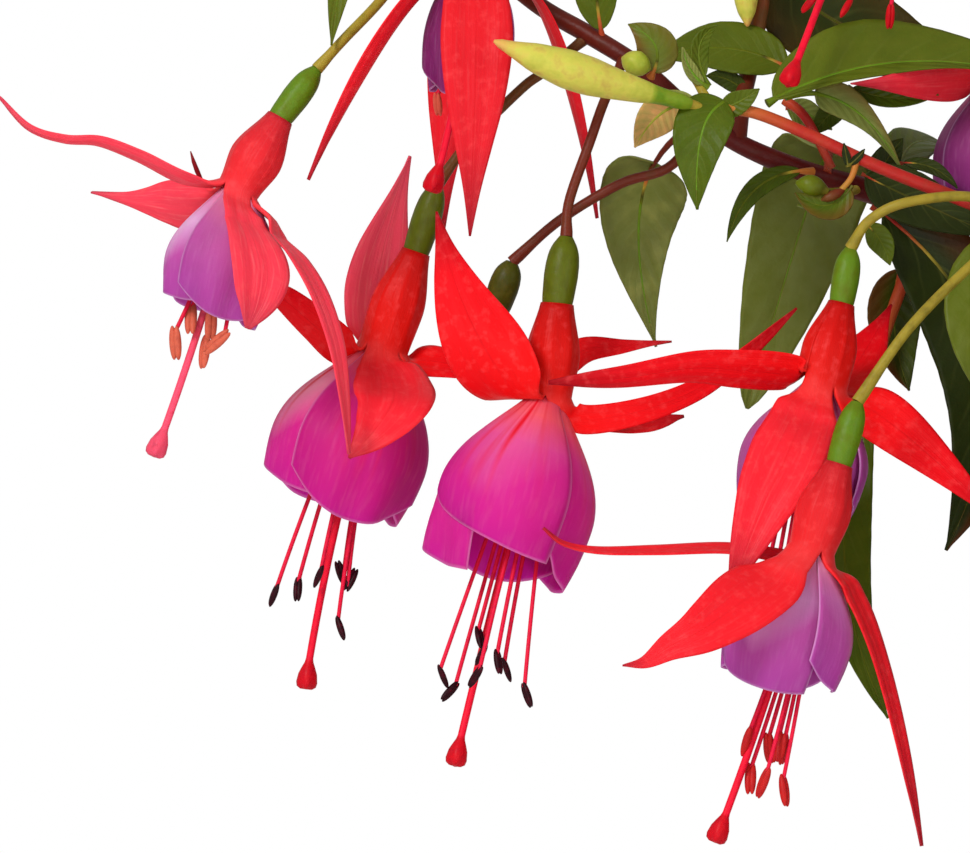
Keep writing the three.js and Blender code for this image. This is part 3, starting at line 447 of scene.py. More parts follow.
def leafMaterial(name, stops, roughness, veinDepth):
    skin = Skin(name, {"Roughness": roughness, **leafFinish["shader"]})
    u, v = skin.uvSpots()
    out = abs(u * 2.0 - 1.0)
    run = v * leafFinish["sideVeins"] - out * 1.7 + skin.cloud(120.0, 1.0) * 0.9
    near = calc("PINGPONG", run, 0.5)  # 0 on a side vein and 0.5 half way to the next
    vein = near.fading(9.0) * (0.9 - out).held()
    rib = out.fading(22.0)
    mottle = skin.cloud(300.0, 6.0)
    skin.colour = skin.ramp(skin.attribute("tone") + (mottle - 0.5) * 0.2 + near * 0.05, stops)
    skin.coat(vein * 0.16, leafFinish["vein"])
    skin.coat(rib * 0.4, leafFinish["midrib"])
    skin.coat((skin.attribute("rust") * (mottle + 0.35)).held(), leafFinish["rust"])
    return skin.finish(near * 0.7 - rib * 0.5 + skin.cloud(1500.0, 3.0) * 0.25, 0.4, veinDepth)


stemFinish = {
    "shader": {"Roughness": 0.42, "Specular IOR Level": 0.16, "Subsurface Weight": 0.08,
               "Subsurface Scale": 0.0008},
    "fleck": rgb(60, 44, 22),
    "age": [  # old wood, side shoots, young shoots, green shoots, berries, ovaries, buds
        (0.0, rgb(84, 16, 14)), (0.2, rgb(104, 38, 20)), (0.26, rgb(98, 62, 24)), (0.34, rgb(170, 32, 28)),
        (0.48, rgb(186, 96, 44)), (0.6, rgb(158, 138, 44)), (0.72, rgb(66, 66, 6)), (0.79, rgb(90, 100, 6)),
        (0.84, rgb(92, 130, 20)), (0.9, rgb(146, 160, 44)), (0.95, rgb(198, 192, 78)),
        (1.0, rgb(216, 150, 84)),
    ],
}


def stemMaterial(look):
    skin = Skin("stemSkin", look["shader"])
    fleck = skin.cloud(420.0, 4.0)
    skin.colour = skin.ramp(skin.attribute("shade") + (fleck - 0.5) * 0.09, look["age"])
    skin.coat(fleck.above(0.55, 1.2), look["fleck"])
    return skin.finish(skin.cloud(900.0, 3.0), 0.35, 0.0004)


basketFinish = {
    "pot": rgb(52, 68, 56), "dust": rgb(104, 106, 92),
    "soil": [(0.3, rgb(26, 17, 12)), (0.6, rgb(66, 46, 32)), (0.9, rgb(116, 90, 66)),
             (1.0, rgb(226, 222, 210))],
    "steel": [(0.3, rgb(150, 153, 156)), (0.7, rgb(196, 198, 200))],
    "floor": rgb(238, 238, 238), "floorCloud": rgb(230, 230, 231),
}


def potMaterial():
    skin = Skin("potPlastic", {"Roughness": 0.45, "Specular IOR Level": 0.5})
    dust = skin.cloud(26.0, 6.0)
    skin.colour = basketFinish["pot"]
    skin.coat(dust.above(0.5, 1.3), basketFinish["dust"])
    return skin.finish(skin.cloud(900.0, 2.0), 0.2, roughness=dust * 0.3 + 0.32)


def soilMaterial():
    skin = Skin("soilEarth", {"Roughness": 0.95, "Specular IOR Level": 0.2})
    skin.colour = skin.ramp(skin.cloud(240.0, 6.0) + skin.attribute("tone"), basketFinish["soil"])
    return skin.finish(skin.cloud(1100.0, 4.0), 0.8, 0.0008)


def steelMaterial():
    skin = Skin("wireSteel", {"Metallic": 1.0, "Roughness": 0.35})
    spangle = skin.cloud(160.0, 5.0)
    skin.colour = skin.ramp(spangle, basketFinish["steel"])
    return skin.finish(skin.cloud(1200.0, 3.0), 0.15, roughness=spangle * 0.3 + 0.2)


def floorMaterial():
    skin = Skin("floorPale", {"Roughness": 0.8})
    skin.colour = basketFinish["floor"]
    skin.coat(skin.cloud(1.4, 2.0) * 0.2, basketFinish["floorCloud"])
    return skin.finish()


sepalSkin = sepalMaterial(sepalFinish)
stamenSkin = stamenMaterial(stamenFinish)
stemSkin = stemMaterial(stemFinish)
petalSkins = {key: petalMaterial(f"petal{key.capitalize()}", look) for key, look in petalFinish.items()}
leafSkins = [leafMaterial("leafUpper", leafFinish["upper"], 0.4, 0.0007),
             leafMaterial("leafUnder", leafFinish["under"], 0.6, -0.0005)]
potSkin, soilSkin, steelSkin = potMaterial(), soilMaterial(), steelMaterial()
print("stage: materials made")


# Geometry Nodes: a path swept to a stem, and stamens with their anthers

def newTree(name, sockets):
    tree = bpy.data.node_groups.new(name, "GeometryNodeTree")
    tree.interface.new_socket("Geometry", in_out="INPUT", socket_type="NodeSocketGeometry")
    for key, kind in sockets.items():
        tree.interface.new_socket(key, in_out="INPUT", socket_type=kind)
    tree.interface.new_socket("Geometry", in_out="OUTPUT", socket_type="NodeSocketGeometry")
    return tree, node(tree, "NodeGroupInput").outputs


def closeTree(tree, geometry, material):
    real = node(tree, "GeometryNodeRealizeInstances", {"Geometry": geometry})
    smooth = node(tree, "GeometryNodeSetShadeSmooth", {"Geometry": real.outputs[0]})
    painted = node(tree, "GeometryNodeSetMaterial", {"Geometry": smooth.outputs[0], "Material": material})
    node(tree, "NodeGroupOutput", {"Geometry": painted.outputs[0]})


def joined(tree, *geometries):
    made = node(tree, "GeometryNodeJoinGeometry")
    for geometry in geometries:
        tree.links.new(geometry, made.inputs[0])
    return made.outputs[0]


def named(tree, name, kind="FLOAT"):
    return node(tree, "GeometryNodeInputNamedAttribute", {"Name": name}, data_type=kind).outputs["Attribute"]


def stored(tree, geometry, name, value):
    return node(tree, "GeometryNodeStoreNamedAttribute", {"Geometry": geometry, "Name": name, "Value": value},
                data_type="FLOAT", domain="POINT").outputs[0]


def sweep(tree, given):  # every edge path of the input becomes a tube whose radius is its girth
    curve = node(tree, "GeometryNodeMeshToCurve", {"Mesh": given["Geometry"]})
    circle = node(tree, "GeometryNodeCurvePrimitiveCircle", {"Resolution": given["Sides"], "Radius": 1.0})
    return node(tree, "GeometryNodeCurveToMesh", {
        "Curve": curve.outputs[0], "Profile Curve": circle.outputs[0],
        "Scale": named(tree, "girth"), "Fill Caps": True,
    }).outputs[0]


def twoLobes(tree, width, length):  # an anther that stands on its filament's end
    lobe = node(tree, "GeometryNodeMeshIcoSphere", {"Radius": 1.0, "Subdivisions": 3}).outputs[0]
    size = node(tree, "ShaderNodeCombineXYZ", {0: width * 0.34, 1: width * 0.36, 2: length * 0.5}).outputs[0]
    halves = []
    for hand in (-1, 1):
        shift = node(tree, "ShaderNodeCombineXYZ", {0: width * (0.2 * hand), 2: length * 0.3}).outputs[0]
        halves.append(node(tree, "GeometryNodeTransform", {
            "Geometry": lobe, "Translation": shift, "Scale": size,
        }).outputs[0])
    return joined(tree, *halves)


def buildStemTree():
    tree, given = newTree("stemSweep", {"Sides": "NodeSocketInt", "Skin": "NodeSocketMaterial"})
    closeTree(tree, sweep(tree, given), given["Skin"])
    return tree


def buildStamenTree():
    tree, given = newTree("stamenSweep", {
        "Sides": "NodeSocketInt", "Skin": "NodeSocketMaterial", "Anther length": "NodeSocketFloat",
        "Anther width": "NodeSocketFloat",
    })
    aim = named(tree, "aim", "FLOAT_VECTOR")
    aimed = node(tree, "FunctionNodeAlignRotationToVector", {"Vector": aim}, axis="Z")
    atEnds = node(tree, "GeometryNodeInstanceOnPoints", {
        "Points": given["Geometry"], "Selection": named(tree, "isTip", "BOOLEAN"),
        "Rotation": aimed.outputs[0],
        "Instance": twoLobes(tree, Reading(given["Anther width"]), Reading(given["Anther length"])),
    })
    real = node(tree, "GeometryNodeRealizeInstances", {"Geometry": atEnds.outputs[0]})
    filaments = stored(tree, sweep(tree, given), "kind", 0.0)
    both = joined(tree, filaments, stored(tree, real.outputs[0], "kind", 1.0))
    closeTree(tree, both, given["Skin"])
    return tree


stemTree, stamenTree = buildStemTree(), buildStamenTree()


class Paths:  # edge paths in one mesh, with values at each point
    def __init__(self):
        self.points, self.edges, self.values = [], [], {}

    def add(self, points, **values):
        first = len(self.points)
        self.points += [np.asarray(p, float) for p in points]
        self.edges += [(first + i, first + i + 1) for i in range(len(points) - 1)]
        for key, value in values.items():
            filled = value if isinstance(value, (list, np.ndarray)) else [value] * len(points)
            self.values.setdefault(key, []).extend(list(filled))

    def build(self, name, tree, inputs):
        mesh = bpy.data.meshes.new(name)
        mesh.from_pydata((np.array(self.points) * mm).tolist(), self.edges, [])
        for key, value in self.values.items():
            value = np.array(value) * mm if key == "girth" else np.array(value)
            kind = {"isTip": "BOOLEAN", "aim": "FLOAT_VECTOR"}.get(key, "FLOAT")
            made = mesh.attributes.new(key, kind, "POINT")
            made.data.foreach_set("vector" if kind == "FLOAT_VECTOR" else "value", value.ravel())
        return grown(name, mesh, tree, inputs)


def addShoot(paths, curve, girths, shades, steps):  # girths and shades run evenly from one end to the other
    t = np.linspace(0, 1, steps + 1)
    along = [np.interp(t, np.linspace(0, 1, len(values)), values) for values in (girths, shades)]
    paths.add([curve(x) for x in t], girth=along[0], shade=along[1])


# Leaves

leafLook = {
    "near": {"columns": 19, "rows": 36}, "far": {"columns": 9, "rows": 17},
    "wall": 0.42, "petiole": 0.12, "fold": 0.2, "quilt": 0.02, "teeth": 0.01, "wave": 0.07,
    "stalkR": [0.8, 0.4, 0.12], "ribEnd": 0.9, "ribSteps": 18,
}
leafShapes = {  # fullness near the stalk and near the tip
    "oval": (0.6, 0.95), "wedge": (0.3, 1.15), "blunt": (0.42, 0.62),
}


def halfWidth(leaf, u):
    p, q = leafShapes[leaf.get("shape", "oval")]
    widest = (p / (p + q)) ** p * (q / (p + q)) ** q
    return leaf["width"] / 2 * max(0.03, u ** p * (1 - u) ** q / widest)


def addBlade(pile, leaf, seed, detail, shares, lines):
    a = np.linspace(-1, 1, leafLook[detail]["columns"])
    out = np.abs(a)
    part = np.where(a < 0, *leaf.get("halves", (1, 1)))
    rows = []
    for u, p, t, w in zip(shares, *lines):
        n = unit(np.cross(w, t))
        run = u * leafFinish["sideVeins"] - 1.5 * out
        half = halfWidth(leaf, u)
        phase = 2 * math.pi * (1.7 * u + scatter(seed)) + 1.2 * np.sign(a)
        wave = leafLook["wave"] * np.sin(phase) * out ** 2.5
        lift = -leafLook["fold"] * (1 - out ** 1.15) + wave
        tooth = 1.0
        if detail == "near":
            tooth = 1 + leafLook["teeth"] * (2 * ((run * 2) % 1) - 1) * (out > 0.99)
            swell = np.abs(np.sin(math.pi * run)) * (1 - out ** 3) * np.minimum(1, 6 * out)
            lift = lift + leafLook["quilt"] * swell
        rows.append(p + np.outer(a * part * half * tooth, w) + np.outer(lift * half, n))
    wall = np.tile(1 - 0.6 * out ** 4, (len(shares), 1))
    rust = np.where(a < 0, *leaf.get("rust", (0, 0))) * smoothstep(out, 0.1, 0.9)
    pile.grid(rows, spotsOver(a, shares), wall=wall, flipped=True, tone=leaf["tone"], rust=rust)


def addMidrib(paths, leaf, curve, petiole, stations, tangents, sides):  # the stalk, sunk along the blade
    reach = petiole + (1 - petiole) * leafLook["ribEnd"]
    t = np.linspace(0.0, reach, leafLook["ribSteps"])
    girth = np.interp(t, [0, petiole, reach], leafLook["stalkR"]) * leaf.get("slim", 1)
    rib = leaf.get("rib", 0.7 + 0.18 * leaf["tone"])
    shade = np.interp(t, [0, petiole + 0.02, petiole + 0.2, reach], [leaf["stalkShade"]] * 2 + [rib] * 2)
    sunk = []
    for x, g in zip(t, girth):
        i = int(np.argmin(np.abs(stations - x)))
        n = unit(np.cross(sides[i], tangents[i]))
        half = halfWidth(leaf, max(0, (x - petiole) / (1 - petiole)))
        depth = leafLook["fold"] * half * float(smoothstep(x, petiole * 0.6, petiole * 1.4))
        sunk.append(curve(x) - n * (depth + g * 0.55))
    paths.add(sunk, girth=girth, shade=shade)


def addLeaf(pile, paths, leaf, seed, detail="far"):
    petiole = leaf.get("petiole", leafLook["petiole"])
    curve = arch(leaf["base"], leaf["mid"], leaf["tip"])
    across = unit(np.cross(tangentAt(curve, 0.4), leaf["face"]))
    shares = np.linspace(0, 1, leafLook[detail]["rows"] + 1)
    shares = shares - 0.06 * np.sin(2 * math.pi * shares)  # rows crowd towards the stalk and the tip
    stations = petiole + (1 - petiole) * shares
    tangents = [tangentAt(curve, s) for s in stations]
    stalk = [tangentAt(curve, s) for s in (0, petiole / 2)]
    sides = carried(stalk + tangents, across)[2:]
    addBlade(pile, leaf, seed, detail, shares, ([curve(s) for s in stations], tangents, sides))
    addMidrib(paths, leaf, curve, petiole, stations, tangents, sides)


# Flowers

calyxLook = {
    "near": {"tubeRows": 14, "sepalRows": 52, "columns": 17},
    "far": {"tubeRows": 9, "sepalRows": 26, "columns": 9},
    "bellyR": 4.5, "endR": 3.9, "wall": 0.8, "ribs": 0.03, "tubeShare": 0.25, "keel": 0.12, "margin": 2.6,
    "spring": 62.0,
}


def tubeRadius(v, topR, end):
    belly = max(calyxLook["bellyR"], end + 0.1)
    swell = smoothstep(v, -0.12, 0.6)
    return topR + (belly - topR) * (swell - 0.074) / 0.926 - (belly - end) * smoothstep(v, 0.58, 1.02)


bellLook = {
    "near": {"rows": 30, "columns": 25}, "far": {"rows": 16, "columns": 13},
    "neckR": 2.7, "lip": 0.2, "wall": 0.4, "ruffle": 0.3, "pinch": 0.17, "shoulder": 0.6,
}


def bellRadius(way, mouthR):
    shoulder = bellLook["shoulder"]
    swell = np.sin(math.pi / 2 * np.minimum(1, way / shoulder)) ** 1.15
    pinch = bellLook["pinch"] * mouthR * (np.maximum(0, way - shoulder) / (1 - shoulder)) ** 1.6
    return bellLook["neckR"] + (mouthR - bellLook["neckR"]) * swell - pinch


def clearOfBell(p, flower):
    axle = flower["mouth"] - flower["throat"]
    length = np.linalg.norm(axle)
    ahead = axle / length
    depth = float(np.dot(p - flower["throat"], ahead))
    onAxis = flower["throat"] + ahead * depth
    away = p - onAxis
    fade = float(smoothstep(depth, -1, 4) * (1 - smoothstep(depth, length + 2, length + 12)))
    need = (bellRadius(np.clip(depth / length, 0, 1), flower["petalR"]) + calyxLook["margin"]) * fade
    far = np.linalg.norm(away)
    return onAxis + away / far * need if far < need else p


sepalOutlines = {  # half widths at nine even stations from the throat to the tip, as shares of the widest
    "plain": [0.68, 0.86, 0.96, 1.0, 0.92, 0.75, 0.5, 0.24, 0.03],
    "broad": [0.7, 0.93, 1.0, 0.98, 0.88, 0.7, 0.47, 0.22, 0.03],
    "spoon": [0.6, 0.68, 0.78, 0.9, 0.99, 1.0, 0.86, 0.52, 0.1],
    "low": [0.66, 0.8, 0.9, 1.0, 0.98, 0.86, 0.62, 0.34, 0.03],
    "shovel": [0.68, 0.78, 0.9, 1.0, 0.95, 0.8, 0.6, 0.34, 0.03],
    "tailed": [0.92, 1.2, 1.16, 0.9, 0.64, 0.44, 0.28, 0.14, 0.03],
    "strap": [0.8, 1.0, 0.98, 0.9, 0.8, 0.7, 0.56, 0.38, 0.08],
    "whip": [0.86, 1.0, 0.9, 0.74, 0.6, 0.52, 0.46, 0.34, 0.06],
    "curled": [0.68, 0.84, 0.84, 0.74, 0.66, 0.68, 0.7, 0.5, 0.06],
    "beak": [0.7, 0.88, 0.98, 1.0, 0.82, 0.54, 0.3, 0.16, 0.04],
}


def sepalSpine(flower, sepal, seat, axis, stations):  # along the tube's line, then over the bell and out
    bow = arch(seat, *sepal["points"]) if len(sepal["points"]) == 2 else smoothPath([seat, *sepal["points"]])
    spring = calyxLook["spring"] * (0.4 + 0.6 * max(0, float(np.dot(unit(bow(0.3) - seat), axis))))
    return np.array([clearOfBell(bow(s) + axis * spring * s * math.exp(-s / 0.07), flower) for s in stations])


def addSepal(pile, flower, sepal, side, limits, phase):  # one sepal with its quarter of the tube
    look = calyxLook[flower["detail"]]
    start, throat = flower["start"], flower["throat"]
    axis = unit(throat - start)
    towards = compass(axis)
    topR, endR = 0.97 * flower["ovaryR"], flower.get("endR", calyxLook["endR"])
    a = np.linspace(-1, 1, look["columns"])
    out = np.abs(a)
    angles = side + a * np.where(a < 0, side - limits[0], limits[1] - side)
    ring = np.array([towards(x) for x in angles])
    split = throat - axis * sepal.get("split", 0)
    full = 1 - sepal.get("split", 0) / float(np.linalg.norm(throat - start))
    tubeShares = np.linspace(0, 1, look["tubeRows"] + 1)
    rows, walls = [], []
    for v in tubeShares:
        centre = start + (split - start) * v + axis * 0.15 * (1 - v)
        ribs = 1 + calyxLook["ribs"] * np.cos(np.radians(8 * (angles - side))) * math.sin(math.pi * v)
        rows.append(centre + ring * (tubeRadius(v * full, topR, endR) * ribs)[:, None])
        walls.append(np.ones_like(a))
    rim = split + ring * tubeRadius(full, topR, endR)
    radial = towards(side)
    stations = np.linspace(0, 1, look["sepalRows"] + 1)
    middle = sepalSpine(flower, sepal, split + radial * (endR - 0.5), axis, stations)
    tangents = tangentsOf(middle)
    across = carried(tangents, np.cross(radial, axis))
    outline = smoothPath([[v] for v in sepalOutlines[sepal["outline"]]])
    for s, m, t, w in list(zip(stations, middle, tangents, across))[1:]:
        w = turnedAbout(w, t, sepal["roll"] * (1 - (1 - s) ** 4))
        half = sepal["width"] / 2 * max(0.02, float(outline(s)[0]))
        sag = -calyxLook["keel"] * (1 - out ** 1.6) - 0.1 * out ** 5
        sag = sag + 0.05 * np.sin(2 * math.pi * (1.4 * s + phase)) * a
        sag = sag + 0.02 * np.cos(3 * math.pi * a) * (1 - a * a)
        blade = m + np.outer(a * half, w) + np.outer(sag * half, np.cross(t, w))
        blend = float(smoothstep(s, 0, 0.14))
        rows.append((rim + (m - middle[0])) * (1 - blend) + blade * blend)
        walls.append((1 - blend) + blend * (1 - out ** 2.6) * (1 - 0.5 * s))
    tube = calyxLook["tubeShare"]
    uv = spotsOver(a, [*(tube * tubeShares), *(tube + (1 - tube) * stations[1:])])
    past = smoothstep(uv[..., 1], 0.2, 0.4)
    tone = flower["tone"] + sepal.get("tone", 0) * past
    pile.grid(rows, uv, wall=walls, tone=tone, dim=sepal.get("dim", 0) * past)


def calyxPiece(flower):
    sepals = sorted(flower["sepals"], key=lambda sepal: sepal["side"] % 360)
    sides = [sepal["side"] % 360 for sepal in sepals]
    pile = Pile()
    for k, (sepal, side) in enumerate(zip(sepals, sides)):
        before = (sides[k - 1] - (360 if k == 0 else 0) + side) / 2
        after = (sides[(k + 1) % 4] + (360 if k == 3 else 0) + side) / 2
        addSepal(pile, flower, sepal, side, (before, after), scatter(flower["seed"] + 31 * k))
    piece = pile.build(f"{flower['name']}_sepals", [sepalSkin], wall=calyxLook["wall"], thinnest=0.22)
    place(piece, "calyx", f"{flower['name']}_calyx")


# Each petal: middle against the flower's turn, half span, lift of each edge, length, flare, tone, pale
# and, where its foot slants, how much
# pale turns up a paler patch on the petal's face, part its own colour and part painted sheen
petalRing = [[centre, 66, 0.8, -0.8, 1.0, 0, 0, 0] for centre in (0, 90, 180, 270)]


def addPetal(pile, flower, row, seed):
    turn, halfSpan, left, right, share, flare, tone, pale, *slope = row
    slope = slope[0] if slope else 0
    look = bellLook[flower["detail"]]
    ahead = unit(flower["mouth"] - flower["throat"])
    length = np.linalg.norm(flower["mouth"] - flower["throat"])
    towards = compass(ahead)
    a = np.linspace(-1, 1, look["columns"])
    out = np.abs(a)
    lip = bellLook["lip"] * np.where(a * slope > 0, 0.35, 1)
    ring = np.array([towards(x) for x in flower["turn"] + turn + halfSpan * a])
    lift = np.where(a < 0, left, right) * out ** 1.3
    ruffle = np.sin(2.6 * math.pi * a + 6 * scatter(seed + 3)) + 0.5 * np.sin(7 * a + 9 * scatter(seed + 5))
    crease = 0.12 * np.cos(9 * a + 4 * scatter(seed + 8))
    shares = np.linspace(0, 1, look["rows"] + 1)
    rows, walls = [], []
    for s in shares:
        way = s * share * (1 + slope * a) * (1 - lip * out ** 2.3) * (0.98 + 0.03 * scatter(seed))
        radius = bellRadius(way, flower["petalR"]) + lift * (0.25 + 0.75 * np.minimum(1, way * 3))
        radius = radius + crease * smoothstep(way, 0.1, 0.4)
        radius = radius + bellLook["ruffle"] * ruffle * smoothstep(way, 0.45, 1)
        radius = radius + flare * np.exp(-((a + 0.6) / 0.55) ** 2) * smoothstep(way, 0.5, 1.0)
        rows.append(flower["throat"] + np.outer(way * length + 0.4, ahead) + ring * radius[:, None])
        walls.append((1 - 0.7 * out ** 5) * (1 - 0.7 * smoothstep(s, 0.8, 1)))
    pile.grid(rows, spotsOver(a, shares), wall=walls, tone=flower["petalTone"] + tone, pale=pale)


def corollaPiece(flower):
    pile = Pile()
    for q, row in enumerate(flower.get("petals", petalRing)):
        addPetal(pile, flower, row, flower["seed"] + 37 * q)
    skin = petalSkins[flower["petal"]]
    piece = pile.build(f"{flower['name']}_petals", [skin], wall=bellLook["wall"], offset=0.0)
    place(piece, f"petal_{flower['petal']}", f"{flower['name']}_corolla")


def addTube(pile, points, radii, sides, lobes=None, **values):  # a closed tube, lobed in four where asked
    tangents = tangentsOf(points)
    first = np.array([1.0, 0, 0]) if abs(tangents[0][2]) > 0.9 else up
    across = carried(tangents, np.cross(tangents[0], first))
    angles = ringAngles(sides)
    rows = []
    for p, t, w, r, lobed in zip(points, tangents, across, radii, lobes or [0] * len(points)):
        swell = r * (1 + lobed * np.cos(4 * angles))
        over = np.outer(np.sin(angles) * swell, np.cross(t, w))
        rows.append(p + np.outer(np.cos(angles) * swell, w) + over)
    rows = [np.tile(points[0], (sides, 1)), *rows, np.tile(points[-1], (sides, 1))]
    for key, value in values.items():
        if isinstance(value, list):
            values[key] = np.tile(np.array([value[0], *value, value[-1]])[:, None], (1, sides))
    pile.rings(rows, **values)


stamenLook = {
    "filamentR": 0.36, "styleR": 0.62, "antherLength": 4.4, "antherWidth": 1.45, "count": 8, "sides": 8,
    "steps": 14, "rootIn": 1.2, "barbR": [0.3, 0.4, 0.42, 0.34, 0.1],
}
stigmaLook = {
    "length": 5.2, "sides": 16, "steps": 16,
    "shape": [(0.12, 0.74), (0.3, 1.15), (0.5, 1.48), (0.78, 1.56), (0.92, 1.3), (1.0, 0.75)],
    "lobes": [0, 0, 0.06, 0.14, 0.24, 0.34],
}


def looseAnther(flower, k, root, reach):  # a stamen without a mark: where it ends, spreads and aims
    seed = flower["seed"] + k
    around = 360 * (k + 0.5) / stamenLook["count"] + 30 * scatter(seed)
    spread = compass(unit(flower["mouth"] - flower["throat"]))(around)
    share = flower["stamenReach"] * (0.8 + 0.4 * scatter(seed + 6 * k + 3))
    end = flower["mouth"] + reach * share + spread * (2.4 + 2.6 * scatter(seed + 4 * k))
    return end, spread, unit(unit(end - root) + spread * 0.9 * (scatter(seed + 10 * k) - 0.3))


def stamenPiece(flower):
    mouth, stigma = flower["mouth"], flower["stigma"]
    ahead = unit(mouth - flower["throat"])
    root = flower["throat"] - ahead * stamenLook["rootIn"]
    reach = stigma - mouth
    bow = (mouth - (root + stigma) / 2) * 0.5
    if "anthers" in flower:
        middle = mouth + reach * 0.6 - 1e-6
        stamens = [(end, unit(end - middle), unit(tip - end)) for end, tip in flower["anthers"]]
    else:
        stamens = [looseAnther(flower, k, root, reach) for k in range(stamenLook["count"])]
    paths, steps = Paths(), stamenLook["steps"]
    for end, spread, aim in stamens:
        side = spread - ahead * np.dot(spread, ahead)
        curve = arch(root + unit(side) * 1.5, (root + end) / 2 + bow + side * 0.6, end)
        paths.add(sampled(curve, steps), girth=stamenLook["filamentR"], isTip=[False] * steps + [True],
                  aim=[aim] * (steps + 1), antherTone=flower["antherTone"], blush=flower.get("blush", 0))
    size = mm * flower.get("antherSize", 1)
    piece = paths.build(f"{flower['name']}_stamens", stamenTree, {
        "Sides": stamenLook["sides"], "Skin": stamenSkin,
        "Anther length": stamenLook["antherLength"] * size, "Anther width": stamenLook["antherWidth"] * size,
    })
    place(piece, "calyx", f"{flower['name']}_calyx")
    stylePiece(flower, root, bow)


def stylePiece(flower, root, bow):  # the style with its four-lobed stigma
    stigma = flower["stigma"]
    end = stigma - unit(stigma - flower["mouth"]) * stigmaLook["length"]
    line = sampled(arch(root, (root + end) / 2 + bow * 1.2, end), stigmaLook["steps"])
    plain = len(line)
    radii = [stamenLook["styleR"]] * plain
    for share, r in stigmaLook["shape"]:
        line.append(end + (stigma - end) * share)
        radii.append(r)
    pile = Pile()
    addTube(pile, line, radii, stigmaLook["sides"], lobes=[0] * plain + stigmaLook["lobes"],
            kind=[2.0] * plain + [3.0] * len(stigmaLook["shape"]), antherTone=0.0,
            blush=flower.get("blush", 0))
    if "barb" in flower:  # the dark torn end of a sepal, behind the others
        addTube(pile, flower["barb"], stamenLook["barbR"], 8, kind=1.0, antherTone=0.2, blush=0.0)
    place(pile.build(f"{flower['name']}_style", [stamenSkin]), "calyx", f"{flower['name']}_calyx")


ovaryLook = {
    "steps": 18, "overlap": 1.06,
    "shape": [(0.0, 0.4), (0.06, 0.55), (0.14, 0.74), (0.26, 0.9), (0.42, 0.98), (0.6, 1.0), (0.78, 0.96),
              (0.92, 0.93), (1.06, 0.86)],
}
pedicelLook = {"r": 0.85, "steps": 26}


def shaped(shape, share):
    return float(np.interp(share, *zip(*shape)))


def addPedicel(paths, path, ovaryEnd, shades, ovaryR):  # a flower's stalk and the ovary at its end
    steps = pedicelLook["steps"]
    t = np.linspace(0, 1, steps + 1)
    girth = pedicelLook["r"] * (1 + 0.25 * smoothstep(t, 0.85, 1) + 0.25 * (1 - smoothstep(t, 0, 0.1)))
    points = sampled(smoothPath(path), steps)
    paths.add(points, girth=girth, shade=shades[0])
    shares = np.linspace(0, ovaryLook["overlap"], ovaryLook["steps"] + 1)
    line = [points[-1] + (ovaryEnd - points[-1]) * share for share in shares]
    paths.add(line, girth=[ovaryR * shaped(ovaryLook["shape"], share) for share in shares], shade=shades[1])


def addFlowerStalk(paths, flower):
    addPedicel(paths, flower["pedicel"], flower["start"], flower["stalk"], flower["ovaryR"])


# The spray that the photograph shows. Its places are in millimetres from its own middle
sprayMiddle = np.array([-190.0, 0, -345])
sprayRoot = [145, 0, -5]
sprayStems = [  # girths, then shades, then the path
    ([3.2, 2.7, 2.0, 1.5, 1.6, 1.4, 1], [0.1, 0.02, 0.0, 0.02, 0.1, 0.2, 0.3], [
        [145, 0, 8], [140, 1, 17], [119.5, 3, 25], [93, 10, 31.5], [74.5, 12, 36.5], [62.5, 10, 40],
        [52.5, 7, 43], [42, 5, 47.5], [34, 5, 53], [26, 6, 60], [17.5, 9, 65.5], [8.5, 13, 71],
        [-1, 15, 79.5], [-7.5, 15, 89.5], [-11, 13, 100.5], [-10, 10, 110.5]]),
    ([1.2, 1.1, 1.05, 1.0, 0.7], [0.32, 0.33, 0.33, 0.34, 0.36, 0.46, 0.6, 0.62], [
        [112, 2, 27.5], [95.5, -8, 31], [80.5, -10, 37], [65.5, -9, 43], [52.5, -8, 49], [45, -8, 52],
        [38, -8, 53.5], [35, -6, 57.5]]),
    ([1.7, 1.3, 0.9], [0.1, 0.25, 0.32, 0.42], [
        [42, 5, 47.5], [43, 9, 54.5], [45, 13, 63], [48.5, 16, 81.5], [55.5, 17, 103.5], [63, 17, 125.5],
        [67, 16, 142]]),
    ([1.6, 0.9], [0.2, 0.45], [
        [93, 6, 31.5], [100, 14, 40], [103, 24, 54], [100, 30, 70], [95, 30, 86], [88, 25, 97]]),
    ([1.3, 0.9], [0.3, 0.5], [[74.5, 8, 36.5], [72, 16, 29], [68, 17, 18], [65, 12, 8]]),
]

